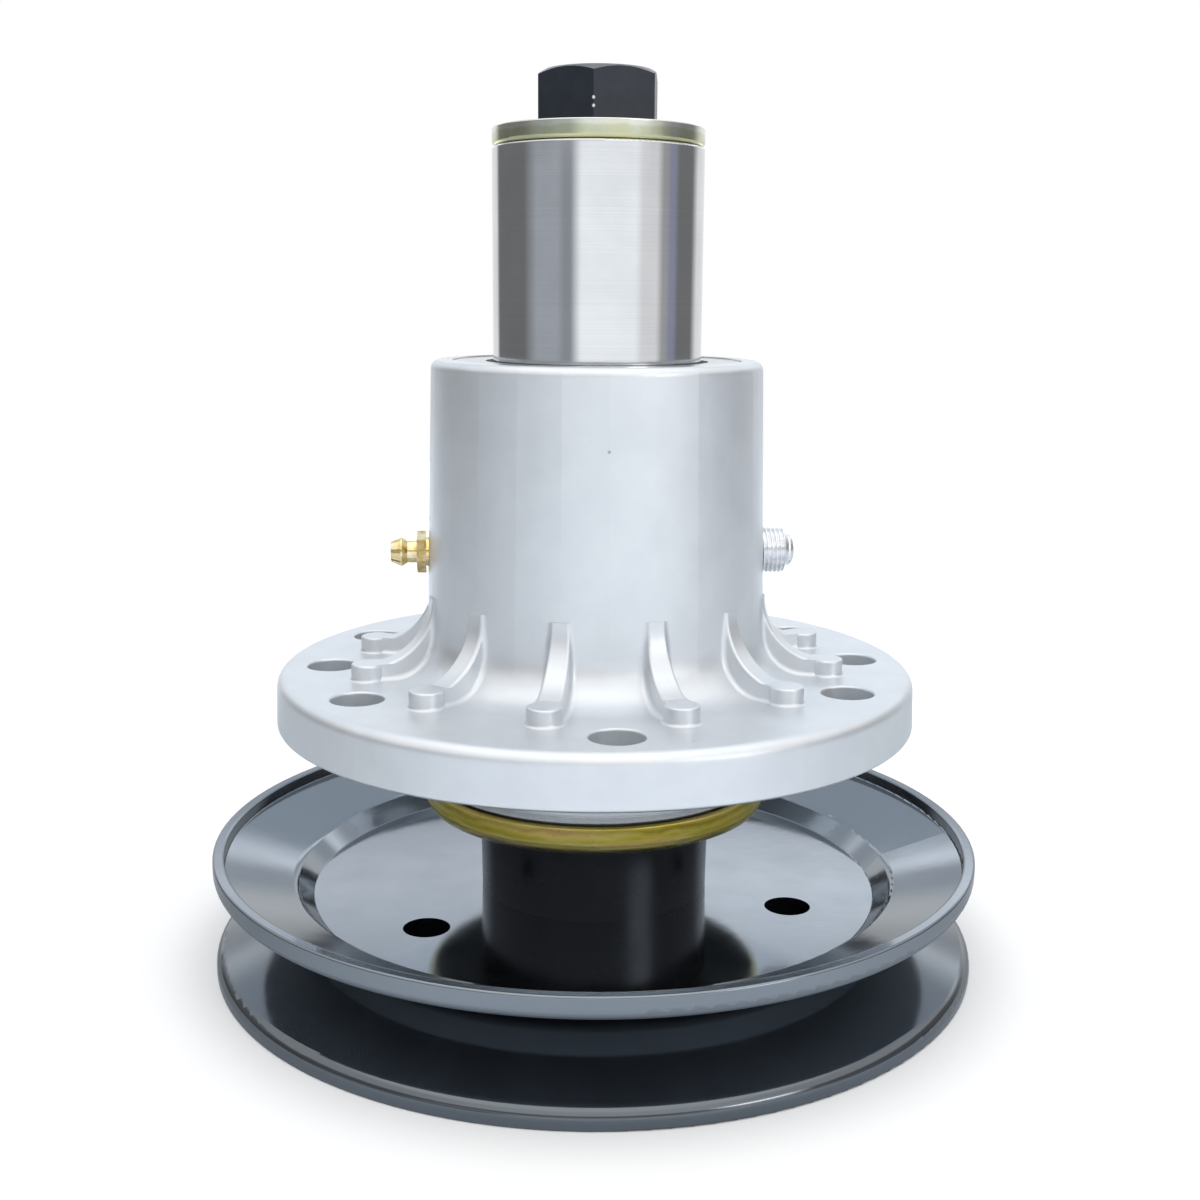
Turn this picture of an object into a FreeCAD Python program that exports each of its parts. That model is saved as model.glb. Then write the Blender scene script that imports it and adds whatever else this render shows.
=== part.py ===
import FreeCAD, Part
import math
import os

# Mower deck spindle, stood on its pulley with the blade end up.
# Millimetres. Z is the spindle axis and Z = 0 is the edge of the lower pulley rim.
# The grease fitting points to -X, and one flange hole lies on -Y.

# Clearances
SEAT_GAP = 0.02
LIP_GAP = 0.07
SHIELD_GAP = 0.25
RACE_GAP = 0.02
POCKET_GAP = 0.15
BOLT_HOLE_GAP = 0.4

# Pulley, two pressed halves
RIM_RADIUS = 84.7
SHEET = 2.5
SHEET_BEND = 0.3
SHEET_EDGE = 0.5
CONE_ANGLE = 18.4
LOWER_LIP = 2.8
LOWER_ROOT_RADIUS = 61.07
STEP_INNER_RADIUS = 63.76
STEP_OUTER_RADIUS = 67.64
STEP_RISE = 4.27
UPPER_LIP = 3.62
WEB_HOLE_RADIUS = 5.0
WEB_HOLE_CIRCLE = 45.5
WEB_HOLE_COUNT = 3
WEB_HOLE_START = -25.0

# Pulley hub, washer and nut
HUB_TOP_RADIUS = 25.8
HUB_FOOT_RADIUS = 25.5
HUB_HEIGHT = 19.4
HUB_TAIL_RADIUS = 22.0
WELD_LEG = 1.8
HUB_TAIL_BEYOND_WELD = 0.2
HUB_NOSE_RADIUS = 19.0
HUB_NOSE_LENGTH = 10.1
HUB_POCKET_RADIUS = 17.0
HUB_POCKET_DEPTH = 8.5
HUB_WASHER_RADIUS = 15.9
HUB_WASHER = 3.0
NUT_FLATS = 23.8
NUT_HEIGHT = 9.5
HEX_CHAMFER_ANGLE = 30.0
HEX_FACE_SHARE = 0.95
HEX_CORNER_BEYOND = 1.0

# Yellow dust cap
CAP_OVERHANG = 1.4
CAP_SHEET = 1.5
CAP_HEIGHT = 6.2
CAP_BEND = 1.0
CAP_EDGE = 0.4

# Ball bearings, both alike
BEARING_BORE_RADIUS = 15.0
BEARING_OUTER_RADIUS = 31.0
BEARING_WIDTH = 16.0
BEARING_CHAMFER = 0.8
BEARING_LAND_GAP = 6.0
BALL_RADIUS = 4.76
BALL_COUNT = 9
RACE_CONFORMITY = 1.04
CAGE_BACK = 1.1
CAGE_FINGERS = 2.4
CAGE_WALL = 2.6
SHIELD = 0.9
SHIELD_RECESS = 0.5
SHIELD_SEAT = 1.2

# Shaft, key and the parts clamped on it
HUB_SEAT_RADIUS = 12.5
HUB_SEAT_SHORT = 1.0
THREAD_RADIUS = 7.94
SHAFT_TAIL = 1.5
SHAFT_CHAMFER = 1.0
BLADE_END_SHORT = 1.0
TAP_DEPTH = 44.0
TAP_CONE_ANGLE = 59.0
KEY_WIDTH = 6.0
KEY_HEIGHT = 6.0
KEY_LENGTH = 18.0
KEY_SHAFT_SHARE = 3.5
KEY_INSET = 4.0
SPACER_TUBE_RADIUS = 19.0
SPACER_TUBE_LENGTH = 47.5

# Blade spacer, washer and bolt
BLADE_SPACER_RADIUS = 22.25
BLADE_SPACER_LENGTH = 52.4
SPACER_NECK_RADIUS = 19.4
SPACER_NECK_LENGTH = 1.6
SPACER_EDGE = 0.5
WASHER_WITHIN_SPACER = 0.03
WASHER_THICKNESS = 3.85
WASHER_LOWER_ROUND = 1.0
WASHER_UPPER_ROUND = 0.3
BOLT_LENGTH = 44.4
HEAD_FLATS = 23.8
HEAD_HEIGHT = 11.5
HEAD_TURN = 21.5

# Housing casting
NOSE_OVERHANG = 4.7
PILOT_WALL = 5.6
PILOT_HEIGHT = 15.2
NOSE_CHAMFER = 1.3
NOSE_LINE_HEIGHT = 2.3
NOSE_LINE = 0.5
FLANGE_BEYOND_HOLES = 11.85
FLANGE_THICKNESS = 11.0
FLANGE_DRAFT = 0.35
FLANGE_TOP_ROUND = 2.5
FLANGE_LOWER_ROUND = 0.8
BARREL_WALL = 4.5
BARREL_TAPER = 1.76
BARREL_ROUND = 2.0
COVE_RADIUS = 9.5
BEARING_SHOULDER = 3.0
SEAL_POCKET = 8.8
SEAL_SUNK = 0.3
FLANGE_HOLE_RADIUS = 5.45
HOLES_BEYOND_BOSSES = 7.1
FLANGE_HOLE_ROUND = 0.5
FLANGE_HOLE_ANGLES = (30.0, 90.0, 150.0, 210.0, 270.0, 330.0, 0.0, 180.0)

# Ribs and the round bosses that they end in
RIB_COUNT = 12
RIB_START = 15.0
RIB_WIDTH = 5.1
RIB_DRAFT = 2.5
RIB_TOP_ROUND = 0.6
RIB_ROOT_ROUND = 1.2
RIB_RISE = 16.8
BOSS_RADIUS = 3.55
BOSS_BEYOND_COVE = 4.24
BOSS_HEIGHT = 3.6
BOSS_TOP_ROUND = 0.5
BOSS_FOOT_ROUND = 0.8
BOSS_FOOT_SHARE = 0.95

# Retaining ring under the lower bearing
CIRCLIP = 2.0
CIRCLIP_GROOVE_DEPTH = 1.5
CIRCLIP_WALL = 3.85
CIRCLIP_GAP_ANGLE = 20.0
CIRCLIP_LUG_RADIUS = 3.0
CIRCLIP_LUG_HOLE_RADIUS = 1.25

# Shaft seal in the top of the barrel
SEAL_HEIGHT = 8.0
SEAL_CASE_WALL = 1.2
SEAL_MOUTH_CLEARANCE = 1.6
SEAL_PLATE_PAST_MIDDLE = 0.175
SEAL_LIP_DROP = 5.0
SEAL_RUBBER = 0.9

# Ports through the barrel
PORT_HEIGHT = 30.7
FITTING_THREAD_RADIUS = 3.15
FITTING_COLLAR = 0.46
FITTING_FLATS = 7.94
FITTING_HEX_WIDTH = 2.0
FITTING_HEX_TURN = 12.0
FITTING_NECK_RADIUS = 2.4
FITTING_NECK_LENGTH = 2.1
FITTING_HEAD_RADIUS = 3.2
FITTING_HEAD_BACK = 1.2
FITTING_HEAD_FRONT = 2.4
FITTING_TIP_RADIUS = 2.25
FITTING_HEAD_ROUND = 0.5
FITTING_TIP_ROUND = 0.2
FITTING_BORE_RADIUS = 1.6
FITTING_MOUTH_RADIUS = 1.1
FITTING_MOUTH_LENGTH = 0.5
FITTING_CRIMP_RADIUS = 0.8
FITTING_CRIMP_LENGTH = 1.0
CHECK_BALL_RADIUS = 1.5
SPRING_WIRE_RADIUS = 0.2
SPRING_TURNS = 6
PLUG_RADIUS = 5.0
PLUG_STAND_OUT = 4.7
PLUG_CHAMFER = 1.0
PLUG_CHAMFER_DROP = 1.8
PLUG_DOME_HEIGHT = 1.8
PORT_SHANK = 7.2

ORIGIN = FreeCAD.Vector(0, 0, 0)
AXIS_X = FreeCAD.Vector(1, 0, 0)
AXIS_Y = FreeCAD.Vector(0, 1, 0)
AXIS_Z = FreeCAD.Vector(0, 0, 1)
FULL_TURN = 360.0

# Radii that follow from the sizes above, from the bearings outward
PITCH_RADIUS = (BEARING_BORE_RADIUS + BEARING_OUTER_RADIUS) / 2
INNER_LAND_RADIUS = PITCH_RADIUS - BEARING_LAND_GAP / 2
OUTER_LAND_RADIUS = PITCH_RADIUS + BEARING_LAND_GAP / 2
SHOULDER_RADIUS = BEARING_OUTER_RADIUS - BEARING_SHOULDER
CIRCLIP_GROOVE_RADIUS = BEARING_OUTER_RADIUS + CIRCLIP_GROOVE_DEPTH
WASHER_RADIUS = BLADE_SPACER_RADIUS - WASHER_WITHIN_SPACER
SEAL_CASE_INSIDE = BEARING_OUTER_RADIUS - SEAL_CASE_WALL
SEAL_CASE_MOUTH = BLADE_SPACER_RADIUS + SEAL_MOUTH_CLEARANCE
PILOT_RADIUS = BEARING_OUTER_RADIUS + PILOT_WALL
CAP_RADIUS = PILOT_RADIUS + CAP_OVERHANG
BARREL_TOP_RADIUS = BEARING_OUTER_RADIUS + BARREL_WALL
BARREL_FOOT_RADIUS = BARREL_TOP_RADIUS + BARREL_TAPER
BOSS_CIRCLE = BARREL_FOOT_RADIUS + COVE_RADIUS + BOSS_BEYOND_COVE
FLANGE_HOLE_CIRCLE = BOSS_CIRCLE + HOLES_BEYOND_BOSSES
FLANGE_RADIUS = FLANGE_HOLE_CIRCLE + FLANGE_BEYOND_HOLES

# Heights that follow from the sizes above, bottom to top
LIP_MID_RADIUS = RIM_RADIUS - SHEET / 2
CONE_SLOPE = math.tan(math.radians(CONE_ANGLE))
LOWER_WEB_MID = LOWER_LIP + (LIP_MID_RADIUS - LOWER_ROOT_RADIUS) * CONE_SLOPE
UPPER_WEB_MID = LOWER_WEB_MID + SHEET
WEB_UNDERSIDE = LOWER_WEB_MID - SHEET / 2
WEB_TOP = UPPER_WEB_MID + SHEET / 2
HUB_END = WEB_UNDERSIDE - WELD_LEG - HUB_TAIL_BEYOND_WELD
HUB_POCKET_FACE = HUB_END + HUB_POCKET_DEPTH
CAP_FLOOR = WEB_TOP + HUB_HEIGHT
LOWER_BEARING_FOOT = CAP_FLOOR + HUB_NOSE_LENGTH
LOWER_BEARING_TOP = LOWER_BEARING_FOOT + BEARING_WIDTH
UPPER_BEARING_FOOT = LOWER_BEARING_TOP + SPACER_TUBE_LENGTH
UPPER_BEARING_TOP = UPPER_BEARING_FOOT + BEARING_WIDTH
SPACER_TOP = UPPER_BEARING_TOP + BLADE_SPACER_LENGTH
WASHER_TOP = SPACER_TOP + WASHER_THICKNESS
NOSE_END = LOWER_BEARING_FOOT - NOSE_OVERHANG
FLANGE_UNDERSIDE = NOSE_END + PILOT_HEIGHT
FLANGE_TOP = FLANGE_UNDERSIDE + FLANGE_THICKNESS
BARREL_TOP = UPPER_BEARING_TOP + SEAL_POCKET
PORT_LEVEL = LOWER_BEARING_TOP + PORT_HEIGHT
BOSS_TOP = FLANGE_TOP + BOSS_HEIGHT


def rounded_wire(corners):
    """Closed outline in the XZ plane. A corner is (x, z) or (x, z, radius of its rounding)."""
    stops = []
    count = len(corners)
    for index, corner in enumerate(corners):
        here = FreeCAD.Vector(corner[0], 0, corner[1])
        radius = corner[2] if len(corner) > 2 else 0.0
        if radius <= 0:
            stops.append((here, None, here))
            continue
        before = corners[index - 1]
        after = corners[(index + 1) % count]
        back = (FreeCAD.Vector(before[0], 0, before[1]) - here).normalize()
        ahead = (FreeCAD.Vector(after[0], 0, after[1]) - here).normalize()
        half_angle = back.getAngle(ahead) / 2
        reach = radius / math.tan(half_angle)
        centre = here + (back + ahead).normalize() * (radius / math.sin(half_angle))
        middle = centre + (here - centre).normalize() * radius
        stops.append((here + back * reach, middle, here + ahead * reach))
    edges = []
    for index, (start, middle, end) in enumerate(stops):
        if middle is not None:
            edges.append(Part.Arc(start, middle, end).toShape())
        following = stops[(index + 1) % count][0]
        if (following - end).Length > 1e-6:
            edges.append(Part.makeLine(end, following))
    return Part.Wire(edges)


def turned(corners):
    """Solid turned about the Z axis from an outline of (radius, z, rounding) corners."""
    return Part.Face(rounded_wire(corners)).revolve(ORIGIN, AXIS_Z, FULL_TURN)


def cylinder(radius, low, high):
    """Upright cylinder on the Z axis between two heights."""
    return Part.makeCylinder(radius, high - low, FreeCAD.Vector(0, 0, low))


def tube(outer, inner, low, high, chamfer=0.0):
    """Upright tube with both outer edges chamfered."""
    corners = [
        (inner, low),
        (outer - chamfer, low),
        (outer, low + chamfer),
        (outer, high - chamfer),
        (outer - chamfer, high),
        (inner, high),
    ]
    if chamfer <= 0:
        corners = [(inner, low), (outer, low), (outer, high), (inner, high)]
    return turned(corners)


def around(shape, angle):
    """Copy of a shape turned about the Z axis by an angle in degrees."""
    copy = shape.copy()
    copy.rotate(ORIGIN, AXIS_Z, angle)
    return copy


def laid_along(shape, level, direction):
    """Shape turned about Z laid down so that its Z runs along +X or -X, at a level."""
    copy = shape.copy()
    copy.rotate(ORIGIN, AXIS_Y, 90.0 * direction)
    copy.translate(FreeCAD.Vector(0, 0, level))
    return copy


def hexagon(flats, low, high):
    """Hexagonal prism with its across-flats size, corners on +X and -X."""
    radius = flats / math.sqrt(3)
    points = []
    for step in range(7):
        angle = math.radians(60 * step)
        points.append(FreeCAD.Vector(radius * math.cos(angle), radius * math.sin(angle), low))
    return Part.Face(Part.makePolygon(points)).extrude(AXIS_Z * (high - low))


def chamfered_hexagon(flats, low, high, chamfer_low, chamfer_high):
    """Hexagonal prism whose corners are turned off at 30 degrees at the chosen ends."""
    slope = math.tan(math.radians(HEX_CHAMFER_ANGLE))
    corner = flats / math.sqrt(3) + HEX_CORNER_BEYOND
    face = flats / 2 * HEX_FACE_SHARE
    drop = (corner - face) * slope
    corners = [(0, low)]
    corners += [(face, low), (corner, low + drop)] if chamfer_low else [(corner, low)]
    corners += [(corner, high - drop), (face, high)] if chamfer_high else [(corner, high)]
    corners.append((0, high))
    return hexagon(flats, low, high).common(turned(corners))


def pressed_sheet(path, thickness, bend, edge):
    """Outline corners of a sheet of one thickness along a path of (radius, z) points."""
    left = []
    right = []
    last = len(path) - 1
    for index, (x, z) in enumerate(path):
        here = FreeCAD.Vector(x, 0, z)
        ways = []
        if index > 0:
            ways.append((here - FreeCAD.Vector(path[index - 1][0], 0, path[index - 1][1])).normalize())
        if index < last:
            ways.append((FreeCAD.Vector(path[index + 1][0], 0, path[index + 1][1]) - here).normalize())
        normals = [FreeCAD.Vector(-way.z, 0, way.x) for way in ways]
        side = (normals[0] + normals[-1]).normalize()
        reach = thickness / 2 / side.dot(normals[0])
        turn = ways[0].x * ways[-1].z - ways[0].z * ways[-1].x
        left_round = bend if turn > 0 else bend + thickness
        right_round = bend + thickness if turn > 0 else bend
        if index in (0, last):
            left_round = right_round = edge if index == last else 0.0
        upper = here + side * reach
        lower = here - side * reach
        left.append((upper.x, upper.z, left_round))
        right.append((lower.x, lower.z, right_round))
    return right + left[::-1]


# Pulley

def web_holes():
    """Cutters for the round holes through both webs."""
    cutter = cylinder(WEB_HOLE_RADIUS, WEB_UNDERSIDE - SHEET, WEB_TOP + SHEET)
    cutter.translate(AXIS_X * WEB_HOLE_CIRCLE)
    step = FULL_TURN / WEB_HOLE_COUNT
    return [around(cutter, WEB_HOLE_START + step * index) for index in range(WEB_HOLE_COUNT)]


def pulley_upper_half():
    """Flat web, step ring, upper cone of the belt groove and upturned lip."""
    step_top = UPPER_WEB_MID + STEP_RISE
    cone_top = step_top + (LIP_MID_RADIUS - STEP_OUTER_RADIUS) * CONE_SLOPE
    path = [
        (HUB_TAIL_RADIUS + SEAT_GAP, UPPER_WEB_MID),
        (STEP_INNER_RADIUS, UPPER_WEB_MID),
        (STEP_OUTER_RADIUS, step_top),
        (LIP_MID_RADIUS, cone_top),
        (LIP_MID_RADIUS, cone_top + UPPER_LIP),
    ]
    return turned(pressed_sheet(path, SHEET, SHEET_BEND, SHEET_EDGE)).cut(web_holes())


def pulley_lower_half():
    """Flat web, lower cone of the belt groove and turned-down lip that the part stands on."""
    path = [
        (HUB_TAIL_RADIUS + SEAT_GAP, LOWER_WEB_MID),
        (LOWER_ROOT_RADIUS, LOWER_WEB_MID),
        (LIP_MID_RADIUS, LOWER_LIP),
        (LIP_MID_RADIUS, 0),
    ]
    return turned(pressed_sheet(path, SHEET, SHEET_BEND, SHEET_EDGE)).cut(web_holes())


def keyway(low, high, bottom, top):
    """Box for the key or its slots, on the +X side between two radii."""
    corner = FreeCAD.Vector(bottom, -KEY_WIDTH / 2, low)
    return Part.makeBox(top - bottom, KEY_WIDTH, high - low, corner)


def pulley_hub():
    """Turned hub: tail through the webs with its weld, drafted body and nose up to the bearing."""
    bore = HUB_SEAT_RADIUS + SEAT_GAP
    hub = turned([
        (bore, HUB_POCKET_FACE),
        (HUB_POCKET_RADIUS, HUB_POCKET_FACE),
        (HUB_POCKET_RADIUS, HUB_END),
        (HUB_TAIL_RADIUS, HUB_END),
        (HUB_TAIL_RADIUS, WEB_UNDERSIDE - WELD_LEG),
        (HUB_TAIL_RADIUS + WELD_LEG, WEB_UNDERSIDE),
        (HUB_TAIL_RADIUS, WEB_UNDERSIDE),
        (HUB_TAIL_RADIUS, WEB_TOP),
        (HUB_FOOT_RADIUS, WEB_TOP),
        (HUB_TOP_RADIUS, CAP_FLOOR),
        (HUB_NOSE_RADIUS, CAP_FLOOR),
        (HUB_NOSE_RADIUS, LOWER_BEARING_FOOT),
        (bore, LOWER_BEARING_FOOT),
    ])
    key_top = HUB_SEAT_RADIUS - KEY_SHAFT_SHARE + KEY_HEIGHT + SEAT_GAP
    return hub.cut(keyway(HUB_POCKET_FACE, LOWER_BEARING_FOOT, HUB_SEAT_RADIUS - KEY_SHAFT_SHARE, key_top))


def pulley_key():
    """Square key between the shaft and the hub."""
    low = HUB_POCKET_FACE + KEY_INSET
    bottom = HUB_SEAT_RADIUS - KEY_SHAFT_SHARE
    corner = FreeCAD.Vector(bottom, -KEY_WIDTH / 2 + SEAT_GAP, low)
    return Part.makeBox(KEY_HEIGHT, KEY_WIDTH - 2 * SEAT_GAP, KEY_LENGTH, corner)


def hub_washer():
    """Flat washer under the nut, in the pocket of the hub."""
    low = HUB_POCKET_FACE - HUB_WASHER
    return tube(HUB_WASHER_RADIUS, THREAD_RADIUS + BOLT_HOLE_GAP, low, HUB_POCKET_FACE)


def hub_nut():
    """Thin hexagon nut on the shaft's threaded tail."""
    high = HUB_POCKET_FACE - HUB_WASHER
    low = high - NUT_HEIGHT
    nut = chamfered_hexagon(NUT_FLATS, low, high, True, True)
    return nut.cut(cylinder(THREAD_RADIUS + SEAT_GAP, low, high))


def dust_cap():
    """Shallow pressed cup that sits on the hub and closes round the nose of the housing."""
    path = [
        (HUB_NOSE_RADIUS + SEAT_GAP, CAP_FLOOR + CAP_SHEET / 2),
        (CAP_RADIUS - CAP_SHEET / 2, CAP_FLOOR + CAP_SHEET / 2),
        (CAP_RADIUS - CAP_SHEET / 2, CAP_FLOOR + CAP_HEIGHT),
    ]
    return turned(pressed_sheet(path, CAP_SHEET, CAP_BEND, CAP_EDGE))


# Bearings

RACE_RADIUS = BALL_RADIUS * RACE_CONFORMITY
INNER_RACE_CENTRE = PITCH_RADIUS - BALL_RADIUS - RACE_GAP + RACE_RADIUS
OUTER_RACE_CENTRE = PITCH_RADIUS + BALL_RADIUS + RACE_GAP - RACE_RADIUS
SHIELD_OUTER_RADIUS = OUTER_LAND_RADIUS + SHIELD_SEAT


def race(centre_radius, middle):
    """Ring-shaped cutter for a ball groove."""
    return Part.makeTorus(centre_radius, RACE_RADIUS, FreeCAD.Vector(0, 0, middle))


def bearing_inner_ring(foot):
    """Inner ring with its ball groove."""
    low = foot
    high = foot + BEARING_WIDTH
    bore = BEARING_BORE_RADIUS
    ring = turned([
        (bore + BEARING_CHAMFER, low),
        (INNER_LAND_RADIUS, low),
        (INNER_LAND_RADIUS, high),
        (bore + BEARING_CHAMFER, high),
        (bore, high - BEARING_CHAMFER),
        (bore, low + BEARING_CHAMFER),
    ])
    return ring.cut(race(INNER_RACE_CENTRE, foot + BEARING_WIDTH / 2))


def bearing_outer_ring(foot, shield_up):
    """Outer ring with its ball groove and the seat of the shield at one end."""
    high = foot + BEARING_WIDTH
    ring = tube(BEARING_OUTER_RADIUS, OUTER_LAND_RADIUS, foot, high, BEARING_CHAMFER)
    depth = SHIELD + SHIELD_RECESS
    if shield_up:
        seat = cylinder(SHIELD_OUTER_RADIUS, high - depth, high)
    else:
        seat = cylinder(SHIELD_OUTER_RADIUS, foot, foot + depth)
    return ring.cut([seat, race(OUTER_RACE_CENTRE, foot + BEARING_WIDTH / 2)])


def bearing_shield(foot, shield_up):
    """Rubber shield pressed into the outer ring, just clear of the inner ring."""
    low = foot + SHIELD_RECESS
    if shield_up:
        low = foot + BEARING_WIDTH - SHIELD_RECESS - SHIELD
    return tube(SHIELD_OUTER_RADIUS - SEAT_GAP, INNER_LAND_RADIUS + SHIELD_GAP, low, low + SHIELD)


def ball_centres(foot):
    """Centres of the bearing's balls, evenly spaced on the pitch circle."""
    centres = []
    for index in range(BALL_COUNT):
        angle = 2 * math.pi * index / BALL_COUNT
        x = PITCH_RADIUS * math.cos(angle)
        y = PITCH_RADIUS * math.sin(angle)
        centres.append(FreeCAD.Vector(x, y, foot + BEARING_WIDTH / 2))
    return centres


def bearing_balls(foot):
    """All the balls of one bearing, as separate solids."""
    return Part.makeCompound([Part.makeSphere(BALL_RADIUS, centre) for centre in ball_centres(foot)])


def bearing_cage(foot):
    """Crown cage: a ring on one side of the balls, with a round pocket open on the other."""
    middle = foot + BEARING_WIDTH / 2
    inner = PITCH_RADIUS - CAGE_WALL / 2
    pocket = BALL_RADIUS + POCKET_GAP
    ring = tube(inner + CAGE_WALL, inner, middle - pocket - CAGE_BACK, middle + CAGE_FINGERS)
    pockets = [Part.makeSphere(pocket, centre) for centre in ball_centres(foot)]
    return ring.cut(pockets)


# Shaft and the parts clamped on it

def spindle_shaft():
    """Stepped shaft: threaded tail, hub seat with its keyway, long journal tapped for the blade bolt."""
    journal = BEARING_BORE_RADIUS - SEAT_GAP
    tail_end = HUB_POCKET_FACE - HUB_WASHER - NUT_HEIGHT - SHAFT_TAIL
    seat_start = HUB_POCKET_FACE + HUB_SEAT_SHORT
    journal_start = LOWER_BEARING_FOOT + HUB_SEAT_SHORT
    top = SPACER_TOP - BLADE_END_SHORT
    shaft = turned([
        (0, tail_end),
        (THREAD_RADIUS - SHAFT_CHAMFER, tail_end),
        (THREAD_RADIUS, tail_end + SHAFT_CHAMFER),
        (THREAD_RADIUS, seat_start),
        (HUB_SEAT_RADIUS, seat_start),
        (HUB_SEAT_RADIUS, journal_start),
        (journal, journal_start),
        (journal, top - SHAFT_CHAMFER),
        (journal - SHAFT_CHAMFER, top),
        (0, top),
    ])
    tap = THREAD_RADIUS + SEAT_GAP
    tip = tap / math.tan(math.radians(TAP_CONE_ANGLE))
    tapped = turned([(0, top - TAP_DEPTH - tip), (tap, top - TAP_DEPTH), (tap, top), (0, top)])
    key_low = HUB_POCKET_FACE + KEY_INSET
    slot = keyway(key_low, key_low + KEY_LENGTH, HUB_SEAT_RADIUS - KEY_SHAFT_SHARE, HUB_SEAT_RADIUS + 1)
    return shaft.cut([tapped, slot])


def bearing_spacer():
    """Tube between the two inner rings."""
    return tube(SPACER_TUBE_RADIUS, BEARING_BORE_RADIUS, LOWER_BEARING_TOP, UPPER_BEARING_FOOT)


def blade_spacer():
    """Sleeve from the upper bearing to the blade washer, with a neck that clears the shield."""
    bore = BEARING_BORE_RADIUS
    neck_top = UPPER_BEARING_TOP + SPACER_NECK_LENGTH
    return turned([
        (bore, UPPER_BEARING_TOP),
        (SPACER_NECK_RADIUS, UPPER_BEARING_TOP),
        (SPACER_NECK_RADIUS, neck_top),
        (BLADE_SPACER_RADIUS, neck_top, SPACER_EDGE),
        (BLADE_SPACER_RADIUS, SPACER_TOP, SPACER_EDGE),
        (bore, SPACER_TOP),
    ])


def blade_washer():
    """Thick stamped washer with a rolled lower edge."""
    bore = THREAD_RADIUS + BOLT_HOLE_GAP
    return turned([
        (bore, SPACER_TOP),
        (WASHER_RADIUS, SPACER_TOP, WASHER_LOWER_ROUND),
        (WASHER_RADIUS, WASHER_TOP, WASHER_UPPER_ROUND),
        (bore, WASHER_TOP),
    ])


def blade_bolt():
    """Hexagon bolt in the tapped end of the shaft, its head chamfered on top."""
    head = chamfered_hexagon(HEAD_FLATS, WASHER_TOP, WASHER_TOP + HEAD_HEIGHT, False, True)
    end = WASHER_TOP - BOLT_LENGTH
    shank = turned([
        (0, end),
        (THREAD_RADIUS - SHAFT_CHAMFER, end),
        (THREAD_RADIUS, end + SHAFT_CHAMFER),
        (THREAD_RADIUS, WASHER_TOP),
        (0, WASHER_TOP),
    ])
    return around(head, HEAD_TURN).fuse(shank).removeSplitter()


# Housing

def casting_body():
    """Pilot, flange, cove and drafted barrel as one turned form."""
    groove_low = NOSE_END + NOSE_LINE_HEIGHT
    return turned([
        (SHOULDER_RADIUS, NOSE_END),
        (PILOT_RADIUS - NOSE_CHAMFER, NOSE_END),
        (PILOT_RADIUS, NOSE_END + NOSE_CHAMFER),
        (PILOT_RADIUS, groove_low),
        (PILOT_RADIUS - NOSE_LINE, groove_low + NOSE_LINE / 2),
        (PILOT_RADIUS, groove_low + NOSE_LINE),
        (PILOT_RADIUS, FLANGE_UNDERSIDE),
        (FLANGE_RADIUS, FLANGE_UNDERSIDE, FLANGE_LOWER_ROUND),
        (FLANGE_RADIUS - FLANGE_DRAFT, FLANGE_TOP, FLANGE_TOP_ROUND),
        (BARREL_FOOT_RADIUS, FLANGE_TOP, COVE_RADIUS),
        (BARREL_TOP_RADIUS, BARREL_TOP, BARREL_ROUND),
        (SHOULDER_RADIUS, BARREL_TOP),
    ])


def boss():
    """Round boss on the flange, with a hollow fillet at its foot and a rounded top edge."""
    sunk = FLANGE_TOP - FLANGE_THICKNESS / 2
    foot = BOSS_RADIUS + BOSS_FOOT_ROUND
    shape = turned([
        (0, sunk),
        (foot, sunk),
        (foot, FLANGE_TOP),
        (BOSS_RADIUS, FLANGE_TOP, BOSS_FOOT_ROUND * BOSS_FOOT_SHARE),
        (BOSS_RADIUS, BOSS_TOP, BOSS_TOP_ROUND),
        (0, BOSS_TOP),
    ])
    shape.translate(AXIS_X * BOSS_CIRCLE)
    return shape


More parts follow.
